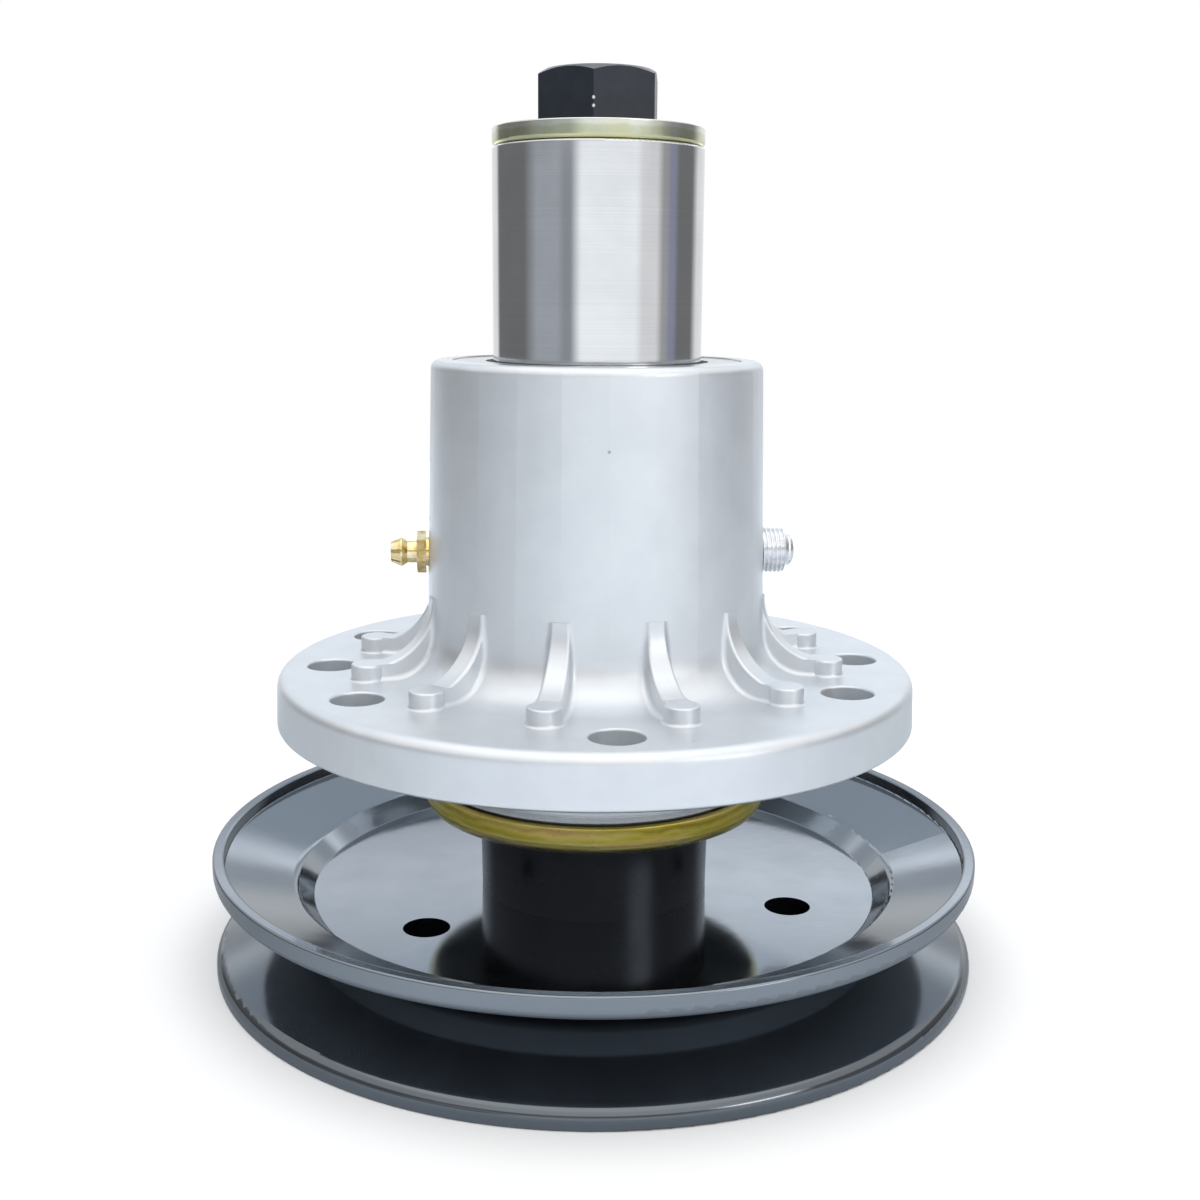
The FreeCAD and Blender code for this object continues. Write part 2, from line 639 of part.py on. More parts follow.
def rib():
    """Drafted fin whose hollow top edge runs from the barrel down to the top of its boss."""
    inner = (SHOULDER_RADIUS + BARREL_TOP_RADIUS) / 2
    low = FLANGE_TOP - FLANGE_THICKNESS / 2
    rise_top = FLANGE_TOP + RIB_RISE
    run = BOSS_CIRCLE - BOSS_RADIUS - BARREL_FOOT_RADIUS
    drop = rise_top - BOSS_TOP
    curve = (run * run + drop * drop) / (2 * run)
    centre = FreeCAD.Vector(BARREL_FOOT_RADIUS + curve, 0, rise_top)
    sweep = math.asin(drop / curve)
    middle = centre + FreeCAD.Vector(-math.cos(sweep / 2), 0, -math.sin(sweep / 2)) * curve
    start = FreeCAD.Vector(BARREL_FOOT_RADIUS, 0, rise_top)
    end = centre + FreeCAD.Vector(-math.cos(sweep), 0, -math.sin(sweep)) * curve
    over = FreeCAD.Vector(BOSS_CIRCLE, 0, end.z)
    points = [
        end,
        over,
        FreeCAD.Vector(BOSS_CIRCLE, 0, low),
        FreeCAD.Vector(inner, 0, low),
        FreeCAD.Vector(inner, 0, rise_top),
        start,
    ]
    edges = [Part.makeLine(points[index], points[index + 1]) for index in range(len(points) - 1)]
    edges.append(Part.Arc(start, middle, end).toShape())
    face = Part.Face(Part.Wire(edges))
    face.translate(AXIS_Y * -RIB_WIDTH)
    slope = math.tan(math.radians(RIB_DRAFT))
    top_half = RIB_WIDTH / 2 - (rise_top - BOSS_TOP) * slope
    foot_half = RIB_WIDTH / 2 + (BOSS_TOP - low) * slope
    wedge = Part.Face(Part.makePolygon([
        FreeCAD.Vector(0, -foot_half, low),
        FreeCAD.Vector(0, foot_half, low),
        FreeCAD.Vector(0, top_half, rise_top),
        FreeCAD.Vector(0, -top_half, rise_top),
        FreeCAD.Vector(0, -foot_half, low),
    ])).extrude(AXIS_X * (2 * BOSS_CIRCLE))
    fin = face.extrude(AXIS_Y * (2 * RIB_WIDTH)).common(wedge)
    curved = [edge for edge in fin.Edges if not isinstance(edge.Curve, Part.Line)]
    return fin.makeFillet(RIB_TOP_ROUND, curved)


def rib_roots(sector):
    """Edges of a ribbed sector along which the rib's flat sides meet the casting round it."""
    roots = []
    for edge in sector.Edges:
        faces = [face for face in sector.Faces if any(edge.isSame(other) for other in face.Edges)]
        flats = [face for face in faces if isinstance(face.Surface, Part.Plane)]
        upright = [face for face in flats if abs(face.Surface.Axis.y) > abs(face.Surface.Axis.z) * 2]
        flanks = [face for face in upright if abs(face.CenterOfMass.y) < RIB_WIDTH]
        if len(faces) != 2 or len(flanks) != 1:
            continue
        carrier = [face for face in faces if not face.isSame(flanks[0])][0].Surface
        level = isinstance(carrier, Part.Plane) and abs(edge.CenterOfMass.z - FLANGE_TOP) < 1e-6
        cove = isinstance(carrier, Part.Toroid) and abs(carrier.MinorRadius - COVE_RADIUS) < 1e-6
        if level or cove or isinstance(carrier, Part.Cone):
            roots.append(edge)
    return roots


def ribbed_sector(casting):
    """Slice of the casting round one rib, with the rib blended in and its boss at the end."""
    half = FULL_TURN / RIB_COUNT / 2
    reach = 2 * FLANGE_RADIUS
    slice_low = FreeCAD.Vector(reach, -reach * math.tan(math.radians(half)), NOSE_END)
    slice_high = FreeCAD.Vector(reach, reach * math.tan(math.radians(half)), NOSE_END)
    foot = FreeCAD.Vector(0, 0, NOSE_END)
    wedge = Part.Face(Part.makePolygon([foot, slice_low, slice_high, foot]))
    slice_round = casting.common(wedge.extrude(AXIS_Z * (BARREL_TOP - NOSE_END)))
    ribbed = slice_round.fuse(rib()).removeSplitter()
    return ribbed.makeFillet(RIB_ROOT_ROUND, rib_roots(ribbed)).fuse(boss())


def flange_hole():
    """Cutter for a flange hole with a rounded upper rim."""
    rim = FLANGE_HOLE_RADIUS + FLANGE_HOLE_ROUND
    low = FLANGE_UNDERSIDE - 1
    start = FreeCAD.Vector(FLANGE_HOLE_RADIUS, 0, FLANGE_TOP - FLANGE_HOLE_ROUND)
    end = FreeCAD.Vector(rim, 0, FLANGE_TOP)
    lean = FLANGE_HOLE_ROUND * (1 - math.sqrt(0.5))
    middle = FreeCAD.Vector(FLANGE_HOLE_RADIUS + lean, 0, FLANGE_TOP - lean)
    points = [
        end,
        FreeCAD.Vector(rim, 0, FLANGE_TOP + 1),
        FreeCAD.Vector(0, 0, FLANGE_TOP + 1),
        FreeCAD.Vector(0, 0, low),
        FreeCAD.Vector(FLANGE_HOLE_RADIUS, 0, low),
        start,
    ]
    edges = [Part.makeLine(points[index], points[index + 1]) for index in range(len(points) - 1)]
    edges.append(Part.Arc(start, middle, end).toShape())
    cutter = Part.Face(Part.Wire(edges)).revolve(ORIGIN, AXIS_Z, FULL_TURN)
    cutter.translate(AXIS_X * FLANGE_HOLE_CIRCLE)
    return cutter


def port(radius, direction):
    """Cutter for a round port through the barrel wall."""
    reach = BARREL_FOOT_RADIUS + 1
    return laid_along(cylinder(radius, SHOULDER_RADIUS - 1, reach), PORT_LEVEL, direction)


def spindle_housing():
    """Casting with its ribs and bosses, bearing pockets, flange holes and ports."""
    sector = ribbed_sector(casting_body())
    step = FULL_TURN / RIB_COUNT
    sectors = [around(sector, RIB_START + step * index) for index in range(RIB_COUNT)]
    casting = sectors[0].fuse(sectors[1:])
    seat = BEARING_OUTER_RADIUS + SEAT_GAP
    groove_top = LOWER_BEARING_FOOT
    cutters = [
        cylinder(seat, NOSE_END - 1, LOWER_BEARING_TOP),
        cylinder(SHOULDER_RADIUS, LOWER_BEARING_TOP - 1, UPPER_BEARING_FOOT + 1),
        cylinder(seat, UPPER_BEARING_FOOT, BARREL_TOP + 1),
        cylinder(CIRCLIP_GROOVE_RADIUS, groove_top - CIRCLIP - SEAT_GAP, groove_top),
        port(FITTING_THREAD_RADIUS + SEAT_GAP, -1),
        port(PLUG_RADIUS + SEAT_GAP, 1),
    ]
    hole = flange_hole()
    cutters += [around(hole, angle) for angle in FLANGE_HOLE_ANGLES]
    return casting.cut(cutters).removeSplitter()


def retaining_ring():
    """Internal ring with a gap and two lugs with plier holes."""
    top = LOWER_BEARING_FOOT
    low = top - CIRCLIP
    outer = CIRCLIP_GROOVE_RADIUS - SEAT_GAP
    ring = tube(outer, outer - CIRCLIP_WALL, low, top)
    reach = 2 * outer
    half = math.radians(CIRCLIP_GAP_ANGLE / 2)
    corner_x = reach * math.cos(half)
    corner_y = reach * math.sin(half)
    wedge = Part.Face(Part.makePolygon([
        FreeCAD.Vector(0, 0, low),
        FreeCAD.Vector(corner_x, -corner_y, low),
        FreeCAD.Vector(corner_x, corner_y, low),
        FreeCAD.Vector(0, 0, low),
    ])).extrude(AXIS_Z * CIRCLIP)
    ring = ring.cut(wedge)
    lug_circle = outer - CIRCLIP_WALL
    lug_angle = CIRCLIP_GAP_ANGLE / 2 + math.degrees(CIRCLIP_LUG_RADIUS / lug_circle)
    for side in (-1, 1):
        lug = cylinder(CIRCLIP_LUG_RADIUS, low, top)
        hole = cylinder(CIRCLIP_LUG_HOLE_RADIUS, low, top)
        for shape in (lug, hole):
            shape.translate(AXIS_X * lug_circle)
        ring = ring.fuse(around(lug, side * lug_angle)).cut(around(hole, side * lug_angle))
    return ring.removeSplitter()


# Shaft seal

def blade_seal_case():
    """Steel case of the shaft seal, pressed flush into the top of the barrel."""
    top = BARREL_TOP - SEAL_SUNK
    low = top - SEAL_HEIGHT
    outer = BEARING_OUTER_RADIUS
    return turned([
        (SEAL_CASE_INSIDE, low),
        (outer, low),
        (outer, top, SEAL_CASE_WALL / 2),
        (SEAL_CASE_MOUTH, top),
        (SEAL_CASE_MOUTH, top - SEAL_CASE_WALL),
        (SEAL_CASE_INSIDE, top - SEAL_CASE_WALL),
    ])


def blade_seal_lip():
    """Rubber bonded under the case, drawn in to a lip that just clears the blade spacer."""
    plate = BARREL_TOP - SEAL_SUNK - SEAL_CASE_WALL
    lip = BLADE_SPACER_RADIUS + LIP_GAP
    root = SEAL_CASE_MOUTH
    foot = plate - SEAL_LIP_DROP
    edge = (SEAL_CASE_INSIDE + root + SEAL_RUBBER) / 2 + SEAL_PLATE_PAST_MIDDLE
    return turned([
        (lip, foot + 2 * SEAL_RUBBER),
        (lip + SEAL_RUBBER, foot),
        (root + SEAL_RUBBER, foot + SEAL_RUBBER),
        (root + SEAL_RUBBER, plate - SEAL_RUBBER),
        (edge, plate - SEAL_RUBBER),
        (edge, plate),
        (root, plate),
        (root, plate + SEAL_CASE_WALL / 2),
        (lip, plate + SEAL_CASE_WALL / 2),
        (lip + SEAL_RUBBER, plate - SEAL_RUBBER),
        (lip + SEAL_RUBBER, foot + 3 * SEAL_RUBBER),
    ])


# Ports

PORT_RISE = (PORT_LEVEL - FLANGE_TOP) / (BARREL_TOP - FLANGE_TOP)
PORT_WALL = BARREL_FOOT_RADIUS + (BARREL_TOP_RADIUS - BARREL_FOOT_RADIUS) * PORT_RISE
HEX_START = PORT_WALL + FITTING_COLLAR
HEX_END = HEX_START + FITTING_HEX_WIDTH
HEAD_BACK = HEX_END + FITTING_NECK_LENGTH
HEAD_WIDEST = HEAD_BACK + FITTING_HEAD_BACK
FITTING_TIP = HEAD_WIDEST + FITTING_HEAD_FRONT
SEAT_EDGE = FITTING_TIP - FITTING_MOUTH_LENGTH
BALL_BACK_OFF = math.sqrt(CHECK_BALL_RADIUS ** 2 - FITTING_MOUTH_RADIUS ** 2)
CHECK_BALL_CENTRE = SEAT_EDGE - BALL_BACK_OFF - SEAT_GAP
SHANK_END = PORT_WALL - PORT_SHANK


def grease_fitting_body():
    """Fitting with threaded shank, hexagon, neck and ball-shaped head, bored for its check valve."""
    body = turned([
        (0, SHANK_END),
        (FITTING_THREAD_RADIUS, SHANK_END),
        (FITTING_THREAD_RADIUS, HEX_START + FITTING_HEX_WIDTH / 2),
        (FITTING_NECK_RADIUS, HEX_START + FITTING_HEX_WIDTH / 2),
        (FITTING_NECK_RADIUS, HEAD_BACK),
        (FITTING_HEAD_RADIUS, HEAD_WIDEST, FITTING_HEAD_ROUND),
        (FITTING_TIP_RADIUS, FITTING_TIP, FITTING_TIP_ROUND),
        (0, FITTING_TIP),
    ])
    body = body.fuse(around(hexagon(FITTING_FLATS, HEX_START, HEX_END), FITTING_HEX_TURN))
    crimp_top = SHANK_END + FITTING_CRIMP_LENGTH
    bore = [
        cylinder(FITTING_CRIMP_RADIUS, SHANK_END, crimp_top),
        cylinder(FITTING_BORE_RADIUS, crimp_top, SEAT_EDGE),
        cylinder(FITTING_MOUTH_RADIUS, SEAT_EDGE, FITTING_TIP),
    ]
    return laid_along(body.cut(bore), PORT_LEVEL, -1)


def grease_fitting_ball():
    """Check ball behind the mouth of the fitting."""
    return Part.makeSphere(CHECK_BALL_RADIUS, FreeCAD.Vector(-CHECK_BALL_CENTRE, 0, PORT_LEVEL))


def grease_fitting_spring():
    """Coil spring between the crimp and the check ball."""
    coil = FITTING_BORE_RADIUS - 2 * SPRING_WIRE_RADIUS
    low = SHANK_END + FITTING_CRIMP_LENGTH + SPRING_WIRE_RADIUS
    touch = CHECK_BALL_RADIUS + SPRING_WIRE_RADIUS
    high = CHECK_BALL_CENTRE - math.sqrt(touch ** 2 - coil ** 2)
    pitch = (high - low) / SPRING_TURNS
    helix = Part.makeHelix(pitch, high - low, coil)
    circle = Part.makeCircle(SPRING_WIRE_RADIUS, FreeCAD.Vector(coil, 0, 0), AXIS_Y)
    spring = Part.Wire(helix.Edges).makePipeShell([Part.Wire(circle)], True, True)
    spring.translate(AXIS_Z * low)
    return laid_along(spring, PORT_LEVEL, -1)


def port_plug():
    """Threaded plug with a chamfered, domed end. The thread's crest is its plain cylinder here."""
    end = PORT_WALL + PLUG_STAND_OUT
    dome = end + PLUG_CHAMFER
    rise = PLUG_DOME_HEIGHT
    half = PLUG_RADIUS - PLUG_CHAMFER_DROP
    sphere = (half * half + rise * rise) / (2 * rise)
    centre = dome + rise - sphere
    sweep = math.asin(half / sphere) / 2
    start = FreeCAD.Vector(half, 0, dome)
    middle = FreeCAD.Vector(sphere * math.sin(sweep), 0, centre + sphere * math.cos(sweep))
    tip = FreeCAD.Vector(0, 0, dome + rise)
    points = [
        tip,
        FreeCAD.Vector(0, 0, SHANK_END),
        FreeCAD.Vector(PLUG_RADIUS - PLUG_CHAMFER, 0, SHANK_END),
        FreeCAD.Vector(PLUG_RADIUS, 0, SHANK_END + PLUG_CHAMFER),
        FreeCAD.Vector(PLUG_RADIUS, 0, end),
        start,
    ]
    edges = [Part.makeLine(points[index], points[index + 1]) for index in range(len(points) - 1)]
    edges.append(Part.Arc(start, middle, tip).toShape())
    plug = Part.Face(Part.Wire(edges)).revolve(ORIGIN, AXIS_Z, FULL_TURN)
    return laid_along(plug, PORT_LEVEL, 1)


def all_nodes():
    """Every piece of the spindle by name."""
    nodes = {
        "spindle_housing": spindle_housing(),
        "grease_fitting_body": grease_fitting_body(),
        "grease_fitting_ball": grease_fitting_ball(),
        "grease_fitting_spring": grease_fitting_spring(),
        "port_plug": port_plug(),
        "retaining_ring": retaining_ring(),
        "blade_seal_case": blade_seal_case(),
        "blade_seal_lip": blade_seal_lip(),
        "spindle_shaft": spindle_shaft(),
        "bearing_spacer": bearing_spacer(),
        "blade_spacer": blade_spacer(),
        "blade_washer": blade_washer(),
        "blade_bolt": blade_bolt(),
        "dust_cap": dust_cap(),
        "pulley_hub": pulley_hub(),
        "pulley_upper_half": pulley_upper_half(),
        "pulley_lower_half": pulley_lower_half(),
        "pulley_key": pulley_key(),
        "hub_washer": hub_washer(),
        "hub_nut": hub_nut(),
    }
    for place, foot, shield_up in (
        ("lower", LOWER_BEARING_FOOT, False),
        ("upper", UPPER_BEARING_FOOT, True),
    ):
        nodes[place + "_bearing_outer_ring"] = bearing_outer_ring(foot, shield_up)
        nodes[place + "_bearing_inner_ring"] = bearing_inner_ring(foot)
        nodes[place + "_bearing_balls"] = bearing_balls(foot)
        nodes[place + "_bearing_cage"] = bearing_cage(foot)
        nodes[place + "_bearing_shield"] = bearing_shield(foot, shield_up)
    return nodes


os.makedirs("parts", exist_ok=True)
for name, shape in all_nodes().items():
    if not shape.isValid():
        raise ValueError(name + " is not a valid solid")
    shape.exportStep("parts/" + name + ".step")
    print(name, len(shape.Solids), round(shape.Volume, 1))
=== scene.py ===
"""Studio scene of a mower deck spindle, stood on its pulley with the blade end up.

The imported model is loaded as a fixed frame. The classes below dress its pieces, replace
or add a few finer surfaces, and set up the floor, the light and the camera.
Lengths are millimetres in the sizes and metres in the meshes. Z is the spindle axis,
the grease fitting points to -X and the camera looks from -Y.
"""

import logging
import math
from abc import ABC, abstractmethod
from dataclasses import dataclass, field
from enum import Enum
from typing import ClassVar, Union

import bmesh
import bpy
import numpy as np
from mathutils import Matrix, Vector

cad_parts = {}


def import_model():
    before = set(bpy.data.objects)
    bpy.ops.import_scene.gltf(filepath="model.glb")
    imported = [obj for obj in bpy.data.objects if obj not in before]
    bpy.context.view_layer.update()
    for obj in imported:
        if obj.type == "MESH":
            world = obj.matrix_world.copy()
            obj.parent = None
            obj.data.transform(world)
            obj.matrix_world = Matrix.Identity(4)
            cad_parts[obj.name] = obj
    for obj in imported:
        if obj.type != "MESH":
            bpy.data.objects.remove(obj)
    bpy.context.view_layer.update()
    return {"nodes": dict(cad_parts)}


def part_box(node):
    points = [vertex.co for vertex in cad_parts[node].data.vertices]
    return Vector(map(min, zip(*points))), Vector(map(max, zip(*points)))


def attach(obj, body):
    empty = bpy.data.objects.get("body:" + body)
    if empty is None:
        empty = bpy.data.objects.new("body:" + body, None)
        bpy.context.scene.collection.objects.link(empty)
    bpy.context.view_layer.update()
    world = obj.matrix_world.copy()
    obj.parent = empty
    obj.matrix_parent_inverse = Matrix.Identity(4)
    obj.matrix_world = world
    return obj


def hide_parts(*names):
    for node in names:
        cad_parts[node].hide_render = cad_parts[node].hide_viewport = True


LOG = logging.getLogger("mower_deck_spindle")
MM = 0.001
FULL_TURN = 2.0 * math.pi
# Points of a mesh that lie closer than this, in metres, are one.
MERGE = 1e-7

Colour = tuple[float, float, float]
Point = tuple[float, float, float]
Limits = tuple[float, float]
Stop = tuple[float, Colour]
Socket = bpy.types.NodeSocket
Source = Union[Socket, float, Colour]

WHITE: Colour = (1.0, 1.0, 1.0)


class Layers(Enum):
    """The finer layers of a noise: how many there are, and how strong they are."""

    SMOOTH = (1.0, 0.5)
    SOFT = (2.0, 0.5)
    RINGED = (2.0, 0.6)
    BLOTCHED = (3.0, 0.5)
    DRIFTED = (3.0, 0.55)
    GRAINY = (3.0, 0.6)
    CLOUDY = (4.0, 0.6)


class Blend(Enum):
    """What a mix node mixes: its data type, the numbers of its two inputs and of its output."""

    NUMBERS = ("FLOAT", 2, 3, 0)
    COLOURS = ("RGBA", 6, 7, 2)


def grid_faces(rows: int, columns: int) -> np.ndarray:
    """Numbers the four corners of every cell of a grid whose last column joins the first.

    Args:
        rows: points along the first parameter.
        columns: points round the second parameter.

    Returns:
        An array of four vertex numbers a face.
    """
    here_row, here_column = np.meshgrid(np.arange(rows - 1), np.arange(columns), indexing="ij")
    next_column = (here_column + 1) % columns
    corners = (
        here_row * columns + here_column,
        here_row * columns + next_column,
        (here_row + 1) * columns + next_column,
        (here_row + 1) * columns + here_column,
    )
    return np.stack(corners, axis=-1).reshape(-1, 4)


def surface(name: str, points: np.ndarray) -> bpy.types.Object:
    """Makes a smooth object from a grid of points, its poles merged and its faces outward.

    Args:
        name: the object's name.
        points: array of rows, columns and three coordinates, in metres. Its last column
            joins the first.

    Returns:
        The new object, at the origin.
    """
    rows, columns = points.shape[:2]
    mesh = bpy.data.meshes.new(name)
    mesh.from_pydata(points.reshape(-1, 3), [], grid_faces(rows, columns))
    work = bmesh.new()
    work.from_mesh(mesh)
    bmesh.ops.remove_doubles(work, verts=work.verts, dist=MERGE)
    bmesh.ops.recalc_face_normals(work, faces=work.faces)
    work.to_mesh(mesh)
    work.free()
    mesh.polygons.foreach_set("use_smooth", np.ones(len(mesh.polygons), dtype=bool))
    piece = bpy.data.objects.new(name, mesh)
    bpy.context.scene.collection.objects.link(piece)
    return piece


class NodeSheet:
    """Node tree of one material, with short calls for the nodes that the finishes use."""

    # The values that most of a fine grain takes, and those that most of soft clouds take.
    GRAIN_SPREAD: ClassVar[Limits] = (0.25, 0.75)
    CLOUD_SPREAD: ClassVar[Limits] = (0.3, 0.7)

    def __init__(self, material: bpy.types.Material) -> None:
        """Opens the material's node tree.

        Args:
            material: the material.
        """
        material.use_nodes = True
        self.tree = material.node_tree
        self.shader = self.tree.nodes["Principled BSDF"]

    def add(self, kind: str, **settings: object) -> bpy.types.Node:
        """Adds a node.

        Args:
            kind: the node's type name.
            settings: properties to set on it.

        Returns:
            The new node.
        """
        node = self.tree.nodes.new(kind)
        for name, value in settings.items():
            setattr(node, name, value)
        return node

    def feed(self, socket: Socket, source: Source) -> None:
        """Links a socket to another, or sets it to a plain number or colour.

        Args:
            socket: the input to fill.
            source: an output socket, a number or a colour.
        """
        if isinstance(source, Socket):
            self.tree.links.new(source, socket)
        elif isinstance(source, tuple):
            socket.default_value = (*source, 1.0)
        else:
            socket.default_value = source

    def set(self, **constants: object) -> None:
        """Sets constants on the shader's own sockets.

        Args:
            constants: socket names, with underscores for spaces, and their values.
        """
        for name, value in constants.items():
            self.shader.inputs[name.replace("_", " ")].default_value = value

    def send(self, socket: str, source: Socket) -> None:
        """Links an output to one of the shader's sockets."""
        self.tree.links.new(source, self.shader.inputs[socket])

    def stretched(self, place: Socket, scale: Point) -> Socket:
        """Scales a place along its three axes.

        Args:
            place: the place.
            scale: what each of its coordinates is multiplied by.

        Returns:
            The scaled place.
        """
        mapping = self.add("ShaderNodeMapping")
        mapping.inputs["Scale"].default_value = scale
        self.feed(mapping.inputs["Vector"], place)
        return mapping.outputs["Vector"]

    def millimetres(self) -> Socket:
        """Gives Object coordinates in millimetres."""
        metres = self.add("ShaderNodeTexCoord").outputs["Object"]
        return self.stretched(metres, (1 / MM, 1 / MM, 1 / MM))

    def split(self, place: Socket) -> tuple[Socket, ...]:
        """Splits a place into its coordinates.

        Args:
            place: the place.

        Returns:
            Its X, Y and Z.
        """
        node = self.add("ShaderNodeSeparateXYZ")
        self.feed(node.inputs[0], place)
        return tuple(node.outputs)

    def lathe(self, place: Socket) -> Socket:
        """Turns a place into its distance from the spindle axis, nought, and its height.

        Args:
            place: place in millimetres.

        Returns:
            The place in lathe coordinates.
        """
        across, along, height = self.split(place)
        square = self.maths("MULTIPLY", across, across)
        total = self.maths("MULTIPLY_ADD", along, along, square)
        joined = self.add("ShaderNodeCombineXYZ")
        self.feed(joined.inputs[0], self.maths("SQRT", total))
        self.feed(joined.inputs[2], height)
        return joined.outputs[0]

    def compass(self, place: Socket) -> Socket:
        """Gives the compass angle of a place or direction: 0.5 towards -Y, 0.75 towards +X.

        Args:
            place: the place or direction.

        Returns:
            The angle, from 0 to 1 for a whole turn.
        """
        across, along, _ = self.split(place)
        angle = self.maths("ARCTAN2", across, self.maths("MULTIPLY", along, -1.0))
        return self.maths("MULTIPLY_ADD", angle, 1.0 / FULL_TURN, 0.5)

    def noise(self, place: Socket, size: float, layers: Layers = Layers.SOFT) -> Socket:
        """Adds soft noise.

        Args:
            place: place in millimetres.
            size: size of its blotches in millimetres.
            layers: its finer layers.

        Returns:
            The noise, about 0.5 on average.
        """
        node = self.add("ShaderNodeTexNoise")
        self.feed(node.inputs["Vector"], place)
        node.inputs["Scale"].default_value = 1.0 / size
        node.inputs["Detail"].default_value, node.inputs["Roughness"].default_value = layers.value
        return node.outputs[0]

    def cells(self, place: Socket, size: float) -> Socket:
        """Adds the distance to scattered points that lie about one size apart.

        Args:
            place: place in millimetres.
            size: about how far apart the points lie, in millimetres.

        Returns:
            The distance to the nearest point, in sizes.
        """
        node = self.add("ShaderNodeTexVoronoi")
        self.feed(node.inputs["Vector"], place)
        node.inputs["Scale"].default_value = 1.0 / size
        return node.outputs["Distance"]

    def distance(self, place: Socket, centre: Point) -> Socket:
        """Gives how far a place lies from a point, both in millimetres.

        Args:
            place: the place.
            centre: the point.

        Returns:
            The distance in millimetres.
        """
        node = self.add("ShaderNodeVectorMath", operation="DISTANCE")
        self.feed(node.inputs[0], place)
        node.inputs[1].default_value = centre
        return node.outputs["Value"]

    def facing(self) -> Socket:
        """Gives how far the surface faces up: 1 upwards, nought on a wall and -1 downwards."""
        return self.split(self.add("ShaderNodeNewGeometry").outputs["Normal"])[2]

    def maths(self, operation: str, *values: Source) -> Socket:
        """Adds one sum of up to three values.

        Args:
            operation: the kind of sum.
            values: what it works on.

        Returns:
            The result.
        """
        node = self.add("ShaderNodeMath", operation=operation)
        for socket, value in zip(node.inputs, values):
            self.feed(socket, value)
        return node.outputs[0]

    def average(self, first: Socket, second: Socket) -> Socket:
        """Gives the average of two values."""
        return self.maths("MULTIPLY_ADD", first, 0.5, self.maths("MULTIPLY", second, 0.5))

    def span(self, value: Source, limits: Limits, start: float, end: float) -> Socket:
        """Maps a value's span onto another, held at its ends.

        Args:
            value: the value.
            limits: the values that give start and end.
            start: result at the first limit.
            end: result at the second limit.

        Returns:
            The mapped value.
        """
        node = self.add("ShaderNodeMapRange", clamp=True)
        for socket, number in zip(node.inputs, (value, *limits, start, end)):
            self.feed(socket, number)
        return node.outputs[0]

    def gloss(self, grain: Socket, smooth: float, rough: float) -> Socket:
        """Gives a roughness that follows a grain, over the values that most of it takes."""
        return self.span(grain, self.GRAIN_SPREAD, smooth, rough)

    def hues(self, value: Socket, stops: tuple[Stop, ...]) -> Socket:
        """Turns a value into a colour along a band of colours.

        Args:
            value: where along the band, from 0 to 1.
            stops: places on the band and their colours.

        Returns:
            The colour.
        """
        node = self.add("ShaderNodeValToRGB")
        band = node.color_ramp
        band.elements[0].position = stops[0][0]
        band.elements[1].position = stops[-1][0]
        for position, _ in stops[1:-1]:
            band.elements.new(position)
        for element, (_, colour) in zip(band.elements, stops):
            element.color = (*colour, 1.0)
        self.feed(node.inputs[0], value)
        return node.outputs[0]

    def shades(self, value: Socket, limits: Limits, first: Colour, second: Colour) -> Socket:
        """Turns a value into a colour between two, held at its limits."""
        return self.hues(value, ((limits[0], first), (limits[1], second)))

    def mix(
        self, share: Source, first: Source, second: Source, kind: Blend = Blend.COLOURS
    ) -> Socket:
        """Mixes two colours or two numbers.

        Args:
            share: share of the second.
            first: a colour or a number.
            second: another of the same kind.
            kind: whether they are colours or numbers.

        Returns:
            The mixture.
        """
        data_type, first_input, second_input, result = kind.value
        node = self.add("ShaderNodeMix", data_type=data_type)
        for number, source in ((0, share), (first_input, first), (second_input, second)):
            self.feed(node.inputs[number], source)
        return node.outputs[result]

    def relief(self, *layers: tuple[Socket, float]) -> None:
        """Lays bumps on the surface, one over the other.

        Args:
            layers: heights from 0 to 1, each with its depth in millimetres.
        """
        normal = None
        for height, depth in layers:
            node = self.add("ShaderNodeBump")
            node.inputs["Strength"].default_value = 1.0
            node.inputs["Distance"].default_value = depth * MM
            self.feed(node.inputs["Height"], height)
            if normal is not None:
                self.feed(node.inputs["Normal"], normal)
            normal = node.outputs["Normal"]
        self.send("Normal", normal)


class WorldSheet(NodeSheet):
    """Node tree of the surroundings."""

    def __init__(self, world: bpy.types.World) -> None:
        """Opens the surroundings' node tree.

        Args:
            world: the scene's world.
        """
        self.tree = world.node_tree
        self.shader = self.tree.nodes["Background"]

    def direction(self) -> Socket:
        """Gives the direction that is looked in."""
        return self.add("ShaderNodeTexCoord").outputs["Generated"]


@dataclass(frozen=True)
class Finish(ABC):
    """A finish that makes its own material from nodes."""

    name: str

    def material(self) -> bpy.types.Material:
        """Gives the finish's material, made the first time that it is asked for.

        Returns:
            The material, named for the finish.
        """
        known = bpy.data.materials.get(f"finish_{self.name}")
        if known is not None:
            return known
        made = bpy.data.materials.new(f"finish_{self.name}")
        self.paint(NodeSheet(made))
        return made

    @abstractmethod
    def paint(self, sheet: NodeSheet) -> None:
        """Builds the finish's nodes.

        Args:
            sheet: the material's node tree.
        """


